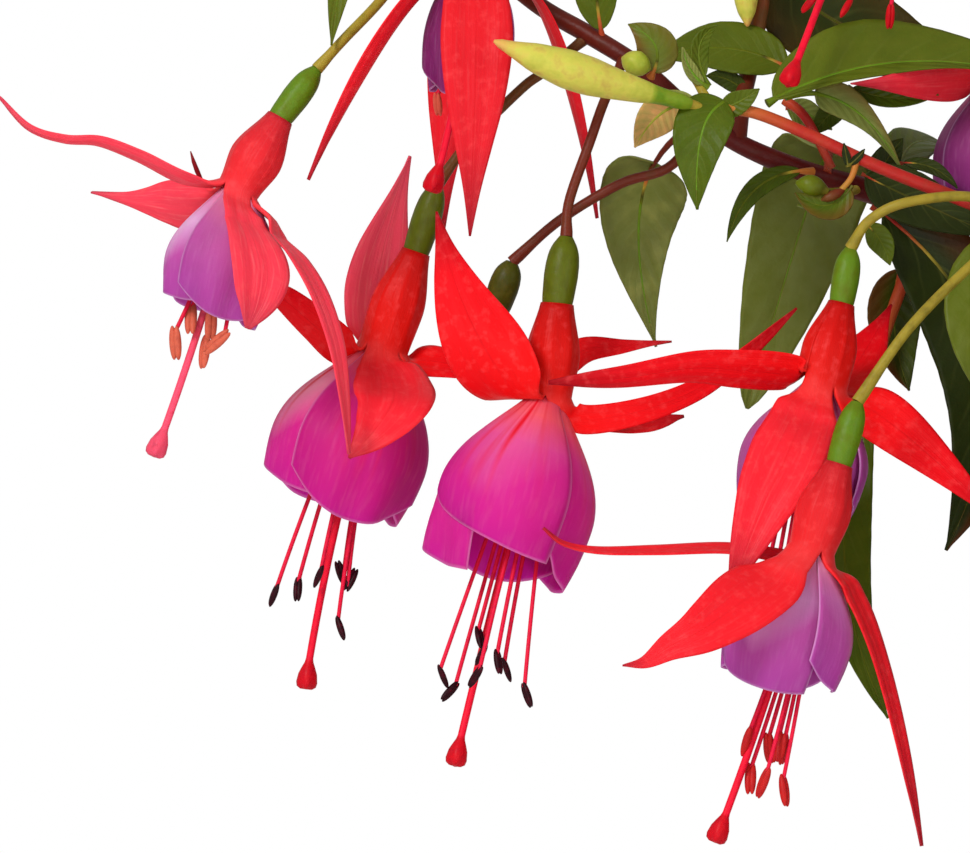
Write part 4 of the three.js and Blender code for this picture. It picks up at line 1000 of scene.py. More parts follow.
# Each sepal: side, points from throat to tip, width, roll, outline and what is its own: how far up the tube
# it splits off, or how pink or dark it is. Marks are a stamen's end and its anther's tip
usualFlower = {
    "petal": "violet", "petalTone": 0.0, "tone": 0.0, "antherTone": 0.0, "stalk": [0.62, 0.82], "ovaryR": 2.4,
    "petalR": 10.3, "turn": 0,
}
sprayFlowers = [
    {
        "name": "bloom_top", "petalTone": 0.8, "tone": 0.08, "antherTone": 0.9, "petalR": 6.6, "turn": 250,
        "stalk": [0.5, 0.8], "pedicel": [[-10, 10, 110.5], [-5, 6, 115], [1, 0, 112], [3.5, -3, 103]],
        "start": [2.5, -3, 92.5], "throat": [-1.2, -4, 78], "mouth": [-3.6, -2, 55.5], "stigma": [-9, -3, 39],
        "marks": [[-8, 54.8, -7.7, 52], [-5.8, 54.6, -5.2, 51.5], [-4, 53.5, -3.6, 50], [-2, 54, -1.8, 51]],
        "sepals": [
            [190, [[-16.5, -10, 71.5], [-29.5, -9, 41]], 6.5, 35, "strap"],
            [350, [[13, 4, 76], [19, 13, 35]], 7, -25, "strap"],
            [270, [[-1, -20, 62], [-2.5, -13, 31.5]], 12, 0, "plain", {"dim": 0.22}],
            [95, [[-6, 22, 64], [-7, 19, 32]], 10, 0, "plain"]],
    },
    {
        "name": "bloom_left", "tone": 0.12, "antherTone": 1.0, "antherSize": 1.35, "blush": 0.6,
        "stalk": [0.6, 0.82], "ovaryR": 2.35, "endR": 3.6, "petalR": 9.2,
        "pedicel": [[-6.5, 15, 88], [-12.5, 9, 78], [-17.5, 3, 71], [-23.5, -1, 64.5], [-28, -2, 59.5]],
        "start": [-34, -3, 51.5], "throat": [-41, -4, 39.5], "mouth": [-46, -5, 18], "stigma": [-55, -8, -5],
        "barb": [[-45.5, 1, 40.4], [-47.3, 1, 41], [-48, 1, 42.6], [-48.6, 1, 44.2], [-49.1, 1, 45.9]],
        "petals": [[110, 60, -0.5, -0.5, 0.94, 0, 0, 0], [192, 64, 0.4, -0.7, 0.86, 0, 0, 1.2, 0.1],
                   [20, 62, -0.7, 0.5, 1.0, 0, 0.1, 0], [290, 58, 0.8, 0.8, 1.0, 0, 0, 0.1]],
        "marks": [[-51.5, 15.6, -51.2, 10.2], [-48.8, 19.6, -48.9, 16.6], [-43.2, 15.1, -46.6, 12.2],
                  [-46.4, 14.2, -47.1, 8.3], [-45.4, 18.6, -45.6, 15]],
        "sepals": [
            [175, [[-50.7, -6, 42.5], [-57.3, -7, 45.3], [-63.9, -8, 47.6], [-69.7, -9, 47.9],
                   [-75.5, -9.5, 49.8], [-80.4, -10, 54.8]], 6, 8, "whip", {"tone": 0.3}],
            [105, [[-48.4, 4, 37.4], [-53.6, 9, 37.6], [-59.6, 13, 38.2], [-66, 16, 39.4]],
             8.6, 30, "beak", {"tone": 0.3}],
            [285, [[-39.4, -12, 35], [-37.7, -17, 30.8], [-36.6, -20, 25.8], [-37.4, -21, 20.5],
                   [-39.1, -21, 16.1]], 11, 0, "spoon", {"tone": 0.26}],
            [345, [[-33.2, -8, 31.8], [-30.3, -10, 27.9], [-27, -12, 21.8], [-24.3, -14, 13.5],
                   [-23, -15, 4.4], [-22.3, -16, -4.5]], 7, 22, "strap", {"tone": 0.3}]],
    },
    {
        "name": "bloom_second", "petal": "magenta", "petalTone": 0.05,
        "stalk": [0.26, 0.76], "ovaryR": 2.5, "endR": 4.3, "petalR": 13,
        "pedicel": [[17.5, 9, 65.5], [10, 10, 59.5], [6, 11, 56.5], [-2.5, 13, 48], [-8, 12, 40.5]],
        "start": [-11.5, 13, 29.5], "throat": [-17, 13, 13.5], "mouth": [-26.5, 12, -15],
        "stigma": [-30, 10, -44],
        # the petal at 195 has its pale patch turned up as painted light, lifting the shade a sepal casts on
        # its upper part
        "petals": [[110, 62, -0.5, -0.5, 0.92, 0, 0, 0], [195, 62, 0.9, -0.8, 0.86, 0.8, 0, 1.2, 0.14],
                   [15, 60, -0.8, 0.5, 0.92, 0, 0.3, 0], [288, 56, 0.9, 0.9, 1.0, 0, 0.2, 0]],
        "marks": [[-34.9, -27, -36.7, -31.6], [-31.3, -26, -31.6, -30.4], [-27.4, -23.9, -28.6, -27],
                  [-23.8, -25.6, -24.9, -22.2], [-23, -26.8, -21.2, -23], [-24.6, -32.5, -23.2, -36.6]],
        "sepals": [
            # this sepal's pink tone is part its inner face's own paler colour and part painted light lifting
            # the shade on it
            [95, [[-20, 26, 22], [-12.5, 22, 45.5]], 14, 0, "plain", {"tone": 0.7}],
            [190, [[-23.5, 12, 13.7], [-28, 12, 17], [-33.6, 13, 21.6], [-37.5, 14, 23.8]], 8, 70, "strap"],
            [350, [[-7, 12, 11], [3, 11, 9]], 8, 50, "strap"],
            [270, [[-15.4, 3, 9.1], [-15.2, -6, 4.9], [-18.2, -9, -0.2], [-22.6, -9, -5.2]],
             13.8, 0, "shovel", {"tone": 0.12}]],
    },
    {
        "name": "bloom_centre", "petal": "magenta", "stalk": [0.2, 0.77], "ovaryR": 2.85, "petalR": 12.8,
        "pedicel": [[23.5, 7, 62], [20, -3, 54.5], [17.5, -5, 47.5], [14, -6, 37.5], [13.5, -7, 31.5]],
        "start": [12, -8, 20.5], "throat": [10.5, -9, 5], "mouth": [2, -14, -24.5], "stigma": [-5, -20, -56],
        "petals": [[98, 72, -0.5, -0.5, 0.98, 0, -0.1, 0], [173, 69, 0.5, -0.7, 0.97, 5.6, -0.05, 0.2, 0.17],
                   [240, 70, 0.7, 0.5, 0.84, 0, 0, 0.3, 0.16], [10, 68, -0.5, 0.5, 1.0, 0, 0, 0.1]],
        "marks": [[-7.4, -40.1, -6, -43.5], [-4.9, -42.8, -7.9, -46], [-0.9, -40.1, -3.3, -43.9],
                  [-1.1, -33.7, -0.6, -36], [0, -36.5, -1.4, -39], [2, -37.5, 2.5, -41],
                  [3.2, -39, 4.2, -42], [6.5, -43, 8, -47.4]],
        "sepals": [
            [215, [[-3.4, -18, 12.4], [-8, -15, 35.5]], 14, 65, "broad"],
            [310, [[16.6, -10, 1.6], [25.7, -9, 2.6], [35.7, -6, 6.4], [44.1, -4, 12.6], [51.9, -3, 19.7]],
             5, 20, "strap"],
            [125, [[12.5, 2, 9.8], [16.7, 4, 12.9], [23.4, 5, 13.5], [31.2, 5, 14.3]], 5, 20, "plain"],
            [40, [[17.5, 4, 1.4], [22.6, 7, 0.2], [27.6, 8, 0.7], [33.3, 9, 1.9]],
             5.4, 30, "curled", {"dim": 0.3}]],
    },
    {
        "name": "bloom_right", "petalTone": 0.25, "antherTone": 0.5, "ovaryR": 2.3, "endR": 4.5, "turn": 30,
        "stamenReach": 0.5,
        "pedicel": [[87, -9, 34.5], [80.5, -14, 38], [69.5, -16, 37], [63.5, -15, 34], [60.5, -14, 29.5]],
        "start": [59, -15, 20.5], "throat": [55.5, -16.5, 7], "mouth": [51, -15.5, -14.5],
        "stigma": [48, -11, -43.5],
        "sepals": [
            [195, [[50.4, -18, 9.7], [42.1, -21, 9.8], [33.8, -23.5, 10], [22.2, -26, 8.3], [10.4, -27, 7.3]],
             8.5, 50, "strap", {"split": 2.6}],
            [265, [[53.2, -24, 3.5], [50.9, -30, -1.4], [48.7, -33, -6.3], [45.9, -35, -12],
                   [42.7, -36, -19.9], [39.8, -35.5, -28]], 12.8, 0, "low", {"tone": 0.12}],
            [335, [[66, -22, 3], [87.5, -20, -18]], 9.6, 80, "broad"],
            [60, [[62, 0, 9.5], [68, 8, 20.5]], 9.5, 0, "plain"]],
    },
    {
        "name": "bloom_low", "tone": 0.08, "antherTone": 0.55, "antherSize": 1.25,
        "pedicel": [[99.5, -6, 29.5], [88.5, -20, 33], [80, -26, 26.5], [69.5, -31, 16], [61, -34, 4]],
        "start": [58, -35, -6], "throat": [53.5, -36, -20], "mouth": [47.5, -36, -43.5],
        "stigma": [37.5, -38, -68],
        "petals": [[95, 60, -0.5, -0.5, 1.0, 0, 0, 0], [165, 62, 0.4, -0.6, 0.93, 0.8, 0.2, 0],
                   [236, 64, 0.5, -0.6, 0.97, 0, 0, 1.0, 0.05], [350, 60, 0.8, 0.2, 0.89, 0, 0, 0.3]],
        "marks": [[43.2, -49.9, 42.1, -54], [43.5, -56, 43.3, -60.5], [46, -56.6, 43.6, -63],
                  [48.1, -50.8, 47.5, -55], [49, -51.1, 48.3, -56.2], [48.7, -57.8, 49.3, -63],
                  [46.4, -51.1, 46.6, -53.5]],
        "sepals": [
            [140, [[50, -32, -20.6], [40, -27, -19.6], [28.8, -27.5, -20], [18.9, -28, -20.1],
                   [13.1, -28, -19], [9.7, -28, -16.5]], 5, 15, "strap"],
            [240, [[44, -48.5, -26.2], [35.8, -53, -32.5], [30, -53, -35.7], [26, -52.5, -38.2],
                   [22.3, -52, -38.8]], 9.8, -44, "tailed"],
            [350, [[65, -38, -28.5], [71.5, -40, -68.5]], 7.2, 27, "strap"],
            [80, [[56, -19, -26], [56, -21, -42]], 10, 0, "plain"]],
    },
    {
        "name": "bloom_edge", "petalTone": 0.5, "tone": 0.2, "antherTone": 0.55, "turn": 10,
        "pedicel": [[88, 25, 97], [89, 24, 100.5], [90.5, 21, 93.5], [89.5, 19, 83.5]],
        "start": [89, 18, 73.5], "throat": [87, 17.5, 59], "mouth": [85.5, 18, 35.5],
        "stigma": [83.5, 20, 4.5],
        "marks": [[79, 34.5, 78.4, 30], [81.5, 28, 81, 23], [84, 32, 84, 27], [87, 29, 87.5, 24],
                  [89, 31, 90, 27]],
        "sepals": [
            [185, [[78, 4, 57.4], [60.6, -9, 56.9]], 7.5, 35, "plain"],
            [270, [[88, -4, 51], [95, -2, 36]], 12, 0, "plain"],
            [0, [[101, 17, 58], [116, 17, 61.5]], 11, 0, "plain"],
            [90, [[88, 38, 58], [86, 46, 76]], 12, 0, "plain"]],
    },
    {
        "name": "bloom_high", "petal": "magenta", "petalTone": 0.1, "tone": 0.1, "antherTone": 0.5,
        "petalR": 12.8, "turn": 70,
        "pedicel": [[67, 16, 142], [73, 14, 150.5], [78, 13, 149.5], [79, 12, 143]],
        "start": [77, 11, 132.5], "throat": [73, 10, 118.5], "mouth": [63.5, 2, 89],
        "stigma": [50, -15, 56.5],
        "marks": [[54.5, 71, 52.3, 68.5], [60.5, 70.5, 58.8, 67.8], [67, 69, 66.7, 64.5], [58, 76, 57, 73],
                  [63, 75, 62.8, 72], [66, 78, 67, 75]],
        "sepals": [
            [200, [[56, 4, 124], [40, 2, 136]], 13, 20, "plain"],
            [290, [[80, -14, 121], [84, -28, 131]], 13, 0, "plain"],
            [10, [[90, 14, 116], [110, 16, 122]], 12, 0, "plain"],
            [110, [[68, 28, 118], [62, 46, 128]], 13, 0, "plain"]],
    },
]

sprayBerry = {
    "path": [[36.5, 4, 51], [31, 4, 43.5], [22.5, 5, 40.5], [12.5, 6, 34.5], [4.5, 7, 27.5]],
    "end": [2, 8, 20],
}
sprayBuds = [
    {"path": [[41.5, -8, 52], [37, -8.5, 52.5], [34, -10, 53.5]], "end": [28, -13, 55],
     "tip": [1.5, -23, 63.5], "fatness": 3.3},
    {"path": [[48.5, 16, 81.5], [46, 12, 87], [44, 12, 84]], "end": [43.5, 12, 78],
     "tip": [44, 11, 67], "fatness": 2},
]

# Each leaf: base, pull of its curve, tip, width, the way its face looks, its stalk's share, tone, shade of
# its stalk and what is its own: rust along its two edges, another shape, unlike halves or a paler rib
sprayLeaves = [
    [[37, 5, 51], [20, 18, 45], [28.8, 20, 13.4], 14.5, [0, -1, 0.1], 0.34, 0.74, 0.2, {"shape": "wedge"}],
    [[40.3, -8, 54.2], [33.9, -15, 53.3], [35.1, -12, 35.9], 10, [0, -1, 0.2], 0.04, 0.44, 0.8,
     {"rib": 0.83}],
    [[38.5, -8, 52.5], [41.5, -10, 53], [45.5, -10, 56], 4, [0, -1, 0], 0.1, 0.5, 0.8],
    [[57, 7, 42], [61, 22, 60], [44.2, 22, 3], 18.5, [0.2, -1, 0], 0.15, 0.68, 0.3, {"shape": "blunt"}],
    [[46.8, -8, 53.8], [65.9, -4, 66.4], [92, 4, 58.5], 15, [0, -1, 0.5], 0.03, 0.56, 0.8,
     {"halves": (1.05, 0.36), "rib": 0.84}],
    [[51.4, 10, 59.7], [41.9, 10, 66.7], [28.5, 9, 61.7], 9.5, [0, -1, 0.4], 0.05, 0.52, 0.4],
    [[27.5, -3, 58], [31.1, -6, 63.9], [23.8, -2, 67], 7, [-0.2, -1, 0], 0.08, 0.62, 0.5,
     {"rust": (0.55, 0.3)}],
    [[49, 16, 83], [50, 24, 68], [81, 24, 61.5], 20, [0, -1, 0.3], 0.1, 0.22, 0.4, {"rust": (0.2, 0.2)}],
    [[50, -6, 55], [62, -3, 58], [69.7, 2, 42.6], 6, [0, -1, 0.3], 0.22, 0.74, 0.8,
     {"shape": "wedge", "rust": (0.4, 0)}],
    [[68.5, 8, 38], [70.5, 29, 54.5], [80, 35, 46], 8, [0, -1, 0.2], 0.1, 0.5, 0.4],
    [[54.9, 4, 42.7], [43.6, -4, 43.3], [40.3, -4, 30.7], 3.6, [0.4, -1, 0.3], 0.1, 0.36, 0.5],
    [[64.7, 5, 37], [96, 4, 15.3], [76.8, 0, -20.6], 17, [0.1, -1, 0], 0.03, 0.12, 0.3, {"rust": (0.5, 0)}],
    [[100, -5, 29], [76, -16, 32], [84, -16, 2], 15, [0, -1, 0.3], 0.12, 0.6, 0.5],
    [[70, 17, 27], [67.2, 21, 17.9], [71.3, 18, 6.1], 9, [0, -1, 0], 0.04, 0.3, 0.3, {"rust": (0, 0.6)}],
    [[65, 12, 8], [54, 2, -22], [67, -4, -48.5], 9, [0, -1, 0], 0.05, 0.46, 0.3],
    [[20, 8, 63.5], [16.5, 2, 77.5], [21, 2, 92.5], 8, [0, -1, 0], 0.1, 0.5, 0.4],
    [[-11, 12.5, 103], [-22.5, 6, 94.5], [-25.5, -4, 63.5], 8, [0, -1, 0.2], 0.1, 0.56, 0.5],
    [[33, 4, 54], [28.5, -2, 53], [25, -4, 46.5], 6.5, [0, -1, 0], 0.1, 0.95, 0.8, {"rib": 0.92}],
    [[37, -7, 56.4], [33.7, -8, 58.5], [32.9, -8, 63], 2.4, [0.6, -1, 0], 0.1, 0.78, 0.8],
    [[37.1, -6, 56.6], [33.7, -7, 64.2], [38.6, -6, 66.5], 3.4, [0.5, -1, 0], 0.1, 0.5, 0.8],
    [[62, 7, 40], [58, -3, 35], [52, -4, 37], 4, [0, -0.3, 1], 0.1, 0.5, 0.6],
]
sprayTufts = [  # small leaves that crowd the joints
    [[62.8, 0, 42.1], [70, 1, 38.6], [85.1, 3, 31.8], 9, [0, -1, 0.1], 0.05, 0.16, 0.3],
    [[64.7, 6, 39.9], [66.8, 8, 44.6], [70, 9, 48.3], 5, [0, -1, 0], 0.05, 0.24, 0.3],
    [[69.3, 4, 44], [75.1, 3, 44.8], [78.9, 2, 39.8], 2.6, [0, -1, 0.5], 0.05, 0.2, 0.3],
    [[50.3, 6, 53.2], [53.5, 6, 53.2], [58, 6, 49.6], 4.4, [0, -1, 0], 0.05, 0.7, 0.4],
    [[60.1, 4, 54.2], [57.6, 4, 52.5], [54.3, 4, 48.5], 4, [0, -1, 0], 0.05, 0.34, 0.4],
    [[60.9, -10, 39.9], [57.2, -12, 34.2], [51.4, -12, 38.8], 5.4, [0, -1, 0.2], 0.05, 0.42, 0.7,
     {"rust": (0.5, 0.3)}],
    [[60.2, -10, 43.2], [59.9, -10, 45], [59.5, -10, 47], 1.3, [0, -1, 0], 0.05, 0.05, 0.7],
    [[60.5, -10, 43.4], [61.9, -10, 44.5], [63, -10, 46], 1.3, [0, -1, 0], 0.05, 0.05, 0.7],
    [[63.5, 0, 33.8], [66.5, -1, 31.1], [67.5, -1, 26.9], 4.2, [0, -1, 0], 0.05, 0.5, 0.5],
    [[60.7, 6, 56.9], [67.7, 5, 53.9], [75.7, 4, 55.5], 3.6, [0, -1, 0.3], 0.05, 0.4, 0.7],
    [[43.9, 9, 55.7], [40.7, 9, 59], [37, 9, 58.7], 3.2, [0, -1, 0], 0.05, 0.3, 0.5],
    [[36.2, -9, 52.5], [32.3, -10, 55.5], [27.9, -10, 55.1], 2.4, [0, -1, 0.4], 0.05, 0.84, 0.8],
]
sprayTwigs = [  # small stalks and the round buds beside the shoot: girths, shades, path
    ([0.6, 0.5, 0.5], [0.5, 0.56], [[61.7, -9, 44.2], [60.7, -10, 41.2], [58.5, -10, 38.6]]),
    ([0.5, 1.0, 1.5, 1.75, 1.8, 1.6, 1.1, 0.3], [0.7, 0.78, 0.8],
     [[56.9, -11, 38.9], [54.2, -11, 39.9], [51.5, -11, 40.4]]),
    ([0.4, 0.8, 0.9, 0.7, 0.2], [0.2, 0.26], [[59.4, -10, 39.2], [57.5, -11, 38.2], [55.7, -11, 37.5]]),
    ([0.3, 1.4, 2.0, 2.2, 2.0, 1.4, 0.3], [0.9, 0.93],
     [[27.4, -5, 59.3], [25.1, -6, 60.3], [22.8, -5, 61.3]]),
    ([0.9, 0.8, 0.7], [0.4, 0.3], [[50, 2, 54.5], [53.5, 1, 51.4], [57.9, 2, 43.1]]),
]


def inSpray(p):
    return np.array(p, float) + sprayMiddle


def preparedFlower(spec, index):
    flower = {**usualFlower, **spec, "seed": 900 + 20 * index, "detail": "near"}
    for key in ("start", "throat", "mouth", "stigma"):
        flower[key] = inSpray(spec[key])
    for key in ("pedicel", "barb"):
        if key in spec:
            flower[key] = [inSpray(p) for p in spec[key]]
    flower["sepals"] = []
    for side, points, width, roll, outline, *own in spec["sepals"]:
        sepal = {"side": side, "width": width, "roll": roll, "outline": outline}
        sepal["points"] = [inSpray(p) for p in points]
        sepal.update(own[0] if own else {})
        flower["sepals"].append(sepal)
    if "marks" in spec:
        depth = spec["stigma"][1]
        flower["anthers"] = []
        for k, (x, z, tipX, tipZ) in enumerate(spec["marks"]):
            y = depth + 3 * math.sin(2.4 * k)
            flower["anthers"].append((inSpray([x, y, z]), inSpray([tipX, y + 1.5 * math.cos(3 * k), tipZ])))
    return flower


budLook = {
    "stalkShade": 0.62, "baseSteps": 8, "baseShade": 0.86, "tipSteps": 26, "tipShade": 0.92, "sag": 1.2,
    "base": [(0, 0.28), (0.15, 0.38), (0.35, 0.42), (0.7, 0.42), (1, 0.48)],
    "swell": [(0.0, 0.48), (0.06, 0.58), (0.2, 0.74), (0.4, 0.98), (0.55, 1.0), (0.75, 0.74), (0.9, 0.36),
              (0.97, 0.22), (1.0, 0.08)],
}


def addBud(paths, bud):  # its stalk, then the ovary and the closed bud in one line
    top, end, tip = (inSpray(p) for p in (bud["path"][-1], bud["end"], bud["tip"]))
    curve = smoothPath([inSpray(p) for p in bud["path"]])
    addShoot(paths, curve, [pedicelLook["r"]] * 2, [budLook["stalkShade"]] * 2, 10)
    bow = arch(end, (end + tip) / 2 - up * budLook["sag"], tip)
    line, radii, shades = [], [], []
    for share in np.linspace(0, 1, budLook["baseSteps"] + 1):
        line.append(top + (end - top) * share)
        radii.append(bud["fatness"] * shaped(budLook["base"], share))
        shades.append(budLook["baseShade"])
    for share in np.linspace(0, 1, budLook["tipSteps"] + 1)[1:]:
        line.append(bow(share))
        radii.append(bud["fatness"] * shaped(budLook["swell"], share))
        shades.append(budLook["tipShade"] + 0.03 * min(1, share * 6) + 0.04 * max(0, share - 0.8) / 0.2)
    paths.add(line, girth=radii, shade=shades)


def sprayLeaf(row, slim):
    base, mid, tip, width, face, petiole, tone, shade, *own = row
    leaf = {
        "base": inSpray(base), "mid": inSpray(mid), "tip": inSpray(tip), "width": width, "petiole": petiole,
        "face": np.array(face, float), "tone": tone, "stalkShade": shade, "slim": slim,
    }
    leaf.update(own[0] if own else {})
    return leaf


def stemPieces(name, paths, pile, sides):
    wood = paths.build(f"stem_{name}_wood", stemTree, {"Sides": sides, "Skin": stemSkin})
    place(wood, "foliage", f"stem_{name}")
    leaves = pile.build(f"stem_{name}_leaves", leafSkins, wall=leafLook["wall"])
    place(leaves, "foliage", f"stem_{name}")


def buildSpray(blooms):
    paths, pile = Paths(), Pile()
    for girths, shades, path in sprayStems:
        addShoot(paths, smoothPath([inSpray(p) for p in path]), girths, shades, 8 * (len(path) - 1))
    root = inSpray(sprayRoot)
    addShoot(paths, lambda t: root + up * 14 * t, [3.2, 3.2], [0.1, 0.1], 3)
    for flower in blooms:
        addFlowerStalk(paths, flower)
    addPedicel(paths, [inSpray(p) for p in sprayBerry["path"]], inSpray(sprayBerry["end"]), [0.2, 0.72], 2.6)
    for bud in sprayBuds:
        addBud(paths, bud)
    leaves = [sprayLeaf(row, 1) for row in sprayLeaves] + [sprayLeaf(row, 0.5) for row in sprayTufts]
    for i, leaf in enumerate(leaves):
        addLeaf(pile, paths, leaf, 300 + i, "near")
    for girths, shades, path in sprayTwigs:
        addShoot(paths, smoothPath([inSpray(p) for p in path]), girths, shades, 16)
    stemPieces("spray", paths, pile, 18)


flowers = [preparedFlower(spec, index) for index, spec in enumerate(sprayFlowers)]
buildSpray(flowers)
print("stage: spray built")


# The stems round the rest of the rim follow the CAD part's rule

soilTop = -342.0
trailingStems = [
    {"name": "right", "azimuth": 0, "reach": 1.1, "rise": 1, "hand": 1, "blooms": 2},
    {"name": "back_right", "azimuth": 60, "reach": 1, "rise": 1.08, "hand": -1, "blooms": 2},
    {"name": "back_left", "azimuth": 120, "reach": 0.72, "rise": 1.1, "hand": -1, "blooms": 1},
    {"name": "front_left", "azimuth": 240, "reach": 0.72, "rise": 1.1, "hand": 1, "blooms": 1},
    {"name": "front_right", "azimuth": 300, "reach": 1, "rise": 1.08, "hand": 1, "blooms": 2},
]
uprightStems = [
    {"name": "inner_back", "azimuth": 80, "height": 1},
    {"name": "inner_front", "azimuth": 265, "height": 0.85},
]
stemPaths = {  # distance from the root and height over the soil
    "trail": [[0, 5], [6, 19], [28, 28], [55, 34], [85, 42], [112, 44], [132, 36]],
    "rise": [[28, 28], [42, 46], [56, 70], [68, 94]],
    "upright": [[0, 5], [2, 34], [5, 66], [3, 96]],
}
stemLook = {
    "sides": 10, "trailR": 42, "uprightR": 16, "trailLeaf": 38, "uprightLeaf": 40, "footR": 2.6, "footIn": 8,
}


def leafPairs(curve, start, stop, pairs, seed, length):
    found = []
    for i in range(pairs):
        t = start + (stop - start) * i / max(1, pairs - 1)
        base, along = curve(t), tangentAt(curve, t)
        level = np.cross(along, up)
        wide = heading(137.5 * i) if np.linalg.norm(level) < 0.35 else unit(level)
        lifted = unit(np.cross(wide, along))
        for hand in (-1, 1):
            n = seed + 2 * i + (hand + 1) / 2
            size = length * (1.08 - 0.3 * t) * (0.88 + 0.24 * scatter(n))
            lift = (0.34 if i % 2 else 0.02) + 0.16 * (scatter(n + 50) - 0.5)
            mid = base + wide * 0.46 * hand * size + along * 0.2 * size + lifted * (0.2 + 0.5 * lift) * size
            tip = base + wide * 0.78 * hand * size + along * 0.4 * size + lifted * lift * size
            found.append({
                "base": base, "mid": mid, "tip": tip - up * 0.26 * size, "width": size * 0.46,
                "face": lifted + up * 0.3, "tone": 0.22 + 0.42 * t + 0.16 * scatter(n + 90),
                "stalkShade": 0.3 + 0.3 * t,
            })
    end, crown, tuft = curve(1), tangentAt(curve, 1), 0.5 * length
    found.append({
        "base": end - crown, "mid": end + crown * 0.4 * tuft + up * 0.14 * tuft, "tip": end + crown * tuft,
        "width": 0.42 * tuft, "face": up - crown * 0.5, "tone": 0.72, "stalkShade": 0.6,
    })
    return found


hangingLook = {  # lengths down the flower, then its sepals
    "ovary": 10, "tube": 14.5, "skirt": 27, "style": 30, "sepalIn": 19, "sepalOut": 35, "sepalWidth": 13.5,
    "shared": {
        "petal": "violet", "petalR": 12.4, "ovaryR": 2.5, "stalk": [0.6, 0.8], "stamenReach": 0.5,
        "detail": "far",
    },
}


def hangingFlower(name, root, out, side, drop, seed):
    def step(o, s, u):
        return root + out * o + side * s + up * u
    bend = step(11, 9, -drop)
    lean = unit(down + out * 0.14 + side * 0.1)
    start = bend + lean * hangingLook["ovary"]
    throat = start + lean * hangingLook["tube"]
    mouth = throat + down * hangingLook["skirt"] + out * 1.5
    stigma = mouth + down * hangingLook["style"] + out * (4 * scatter(seed + 5) - 1)
    turn = 360 * scatter(seed + 9)
    rise = 6 + 14 * scatter(seed + 13)
    sepals = []
    for m in range(4):
        at = turn + 90 * m + 16 * (scatter(seed + 17 * m) - 0.5)
        radial = heading(at)
        lift = rise + 8 * (scatter(seed + 23 * m) - 0.5)
        near = throat + radial * hangingLook["sepalIn"] - up * 2
        far = throat + radial * hangingLook["sepalOut"] + up * lift
        sepals.append({
            "side": at, "points": [near, far], "width": hangingLook["sepalWidth"],
            "roll": 24 * (scatter(seed + 29 * m) - 0.5), "outline": "plain",
        })
    return {
        **hangingLook["shared"], "name": name, "seed": seed, "turn": turn, "sepals": sepals,
        "pedicel": [root, step(4, 3, 2.5), step(9, 7, -0.4 * drop), bend],
        "start": start, "throat": throat, "mouth": mouth, "stigma": stigma,
        "petalTone": 0.5 * scatter(seed + 41), "tone": 0.3 * scatter(seed + 43),
        "antherTone": 0.5 * scatter(seed + 47),
    }


def pathAlong(key, azimuth, rootR, reach, rise):
    out = heading(azimuth)
    found = []
    for r, h in stemPaths[key]:
        found.append(out * (rootR + r * reach) + up * (soilTop + (h * rise if h > 5 else h)))
    return found


def leafyStem(name, foot, curves, leaves, blooms):
    paths, pile = Paths(), Pile()
    sunk = foot * [1, 1, 0] + up * (soilTop - stemLook["footIn"])
    addShoot(paths, lambda t: sunk + (foot - sunk) * t, [stemLook["footR"]] * 2, [0.1, 0.08], 3)
    addShoot(paths, curves[0], [stemLook["footR"], 2.0, 1.5, 1.0], [0.08, 0.15, 0.3, 0.5], 40)
    for curve in curves[1:]:
        addShoot(paths, curve, [2.0, 1.5, 1.0], [0.2, 0.35, 0.55], 24)
    for flower in blooms:
        addFlowerStalk(paths, flower)
    for i, leaf in enumerate(leaves):
        addLeaf(pile, paths, leaf, foot[0] + i)
    stemPieces(name, paths, pile, stemLook["sides"])


def trailingStem(stem, seed):
    out, side = heading(stem["azimuth"]), heading(stem["azimuth"] + 90)
    given = (stem["azimuth"], stemLook["trailR"], stem["reach"], stem["rise"])
    trail = pathAlong("trail", *given)
    for i in range(3, len(trail)):
        trail[i] = trail[i] + side * 5 * (scatter(seed + i) - 0.5)
    curves = [smoothPath(trail), smoothPath(pathAlong("rise", *given))]
    size = stemLook["trailLeaf"]
    leaves = leafPairs(curves[0], 0.36, 0.97, 4, seed + 10, size)
    leaves += leafPairs(curves[1], 0.3, 0.95, 3, seed + 30, size)
    spots = [("outer", 0.97, -stem["hand"], 24, seed + 60), ("inner", 0.7, 1.8 * stem["hand"], 16, seed + 72)]
    blooms = [
        hangingFlower(f"bloom_{stem['name']}_{part}", curves[0](t), out, side * sway, drop, flowerSeed)
        for part, t, sway, drop, flowerSeed in spots[:stem["blooms"]]
    ]
    leafyStem(stem["name"], trail[0], curves, leaves, blooms)
    return blooms


def uprightStem(stem, seed):
    path = pathAlong("upright", stem["azimuth"], stemLook["uprightR"], 1, stem["height"])
    curve = smoothPath(path)
    leaves = leafPairs(curve, 0.3, 0.95, 4, seed, stemLook["uprightLeaf"])
    leafyStem(stem["name"], path[0], [curve], leaves, [])


for index, stem in enumerate(trailingStems):
    flowers += trailingStem(stem, 100 * (index + 1))
for index, stem in enumerate(uprightStems):
    uprightStem(stem, 700 + 100 * index)
print("stage: stems and leaves built")

for flower in flowers:
    calyxPiece(flower)
    corollaPiece(flower)
    stamenPiece(flower)
print("stage: flowers built")


# The basket, its soil and its hanger

potLook = {
    "sides": 128, "rimZ": -330.0, "baseZ": -455.0, "rimR": 100.0, "footR": 70.0, "wall": 2.2, "floor": 2.6,
    "band": 12.0, "step": 2.4, "wallRows": 24, "lugs": [30, 150, 270], "lugFrom": 94.0, "lugTo": 117.5,
    "lugWidth": 15.0, "lugThick": 4.0, "lugDrop": 3.0, "lugSides": 32, "holeR": 1.75, "holeAt": 107.55,
}


def ringAt(r, z, angles):
    return np.stack([r * np.cos(angles), r * np.sin(angles), np.broadcast_to(z, angles.shape)], -1)


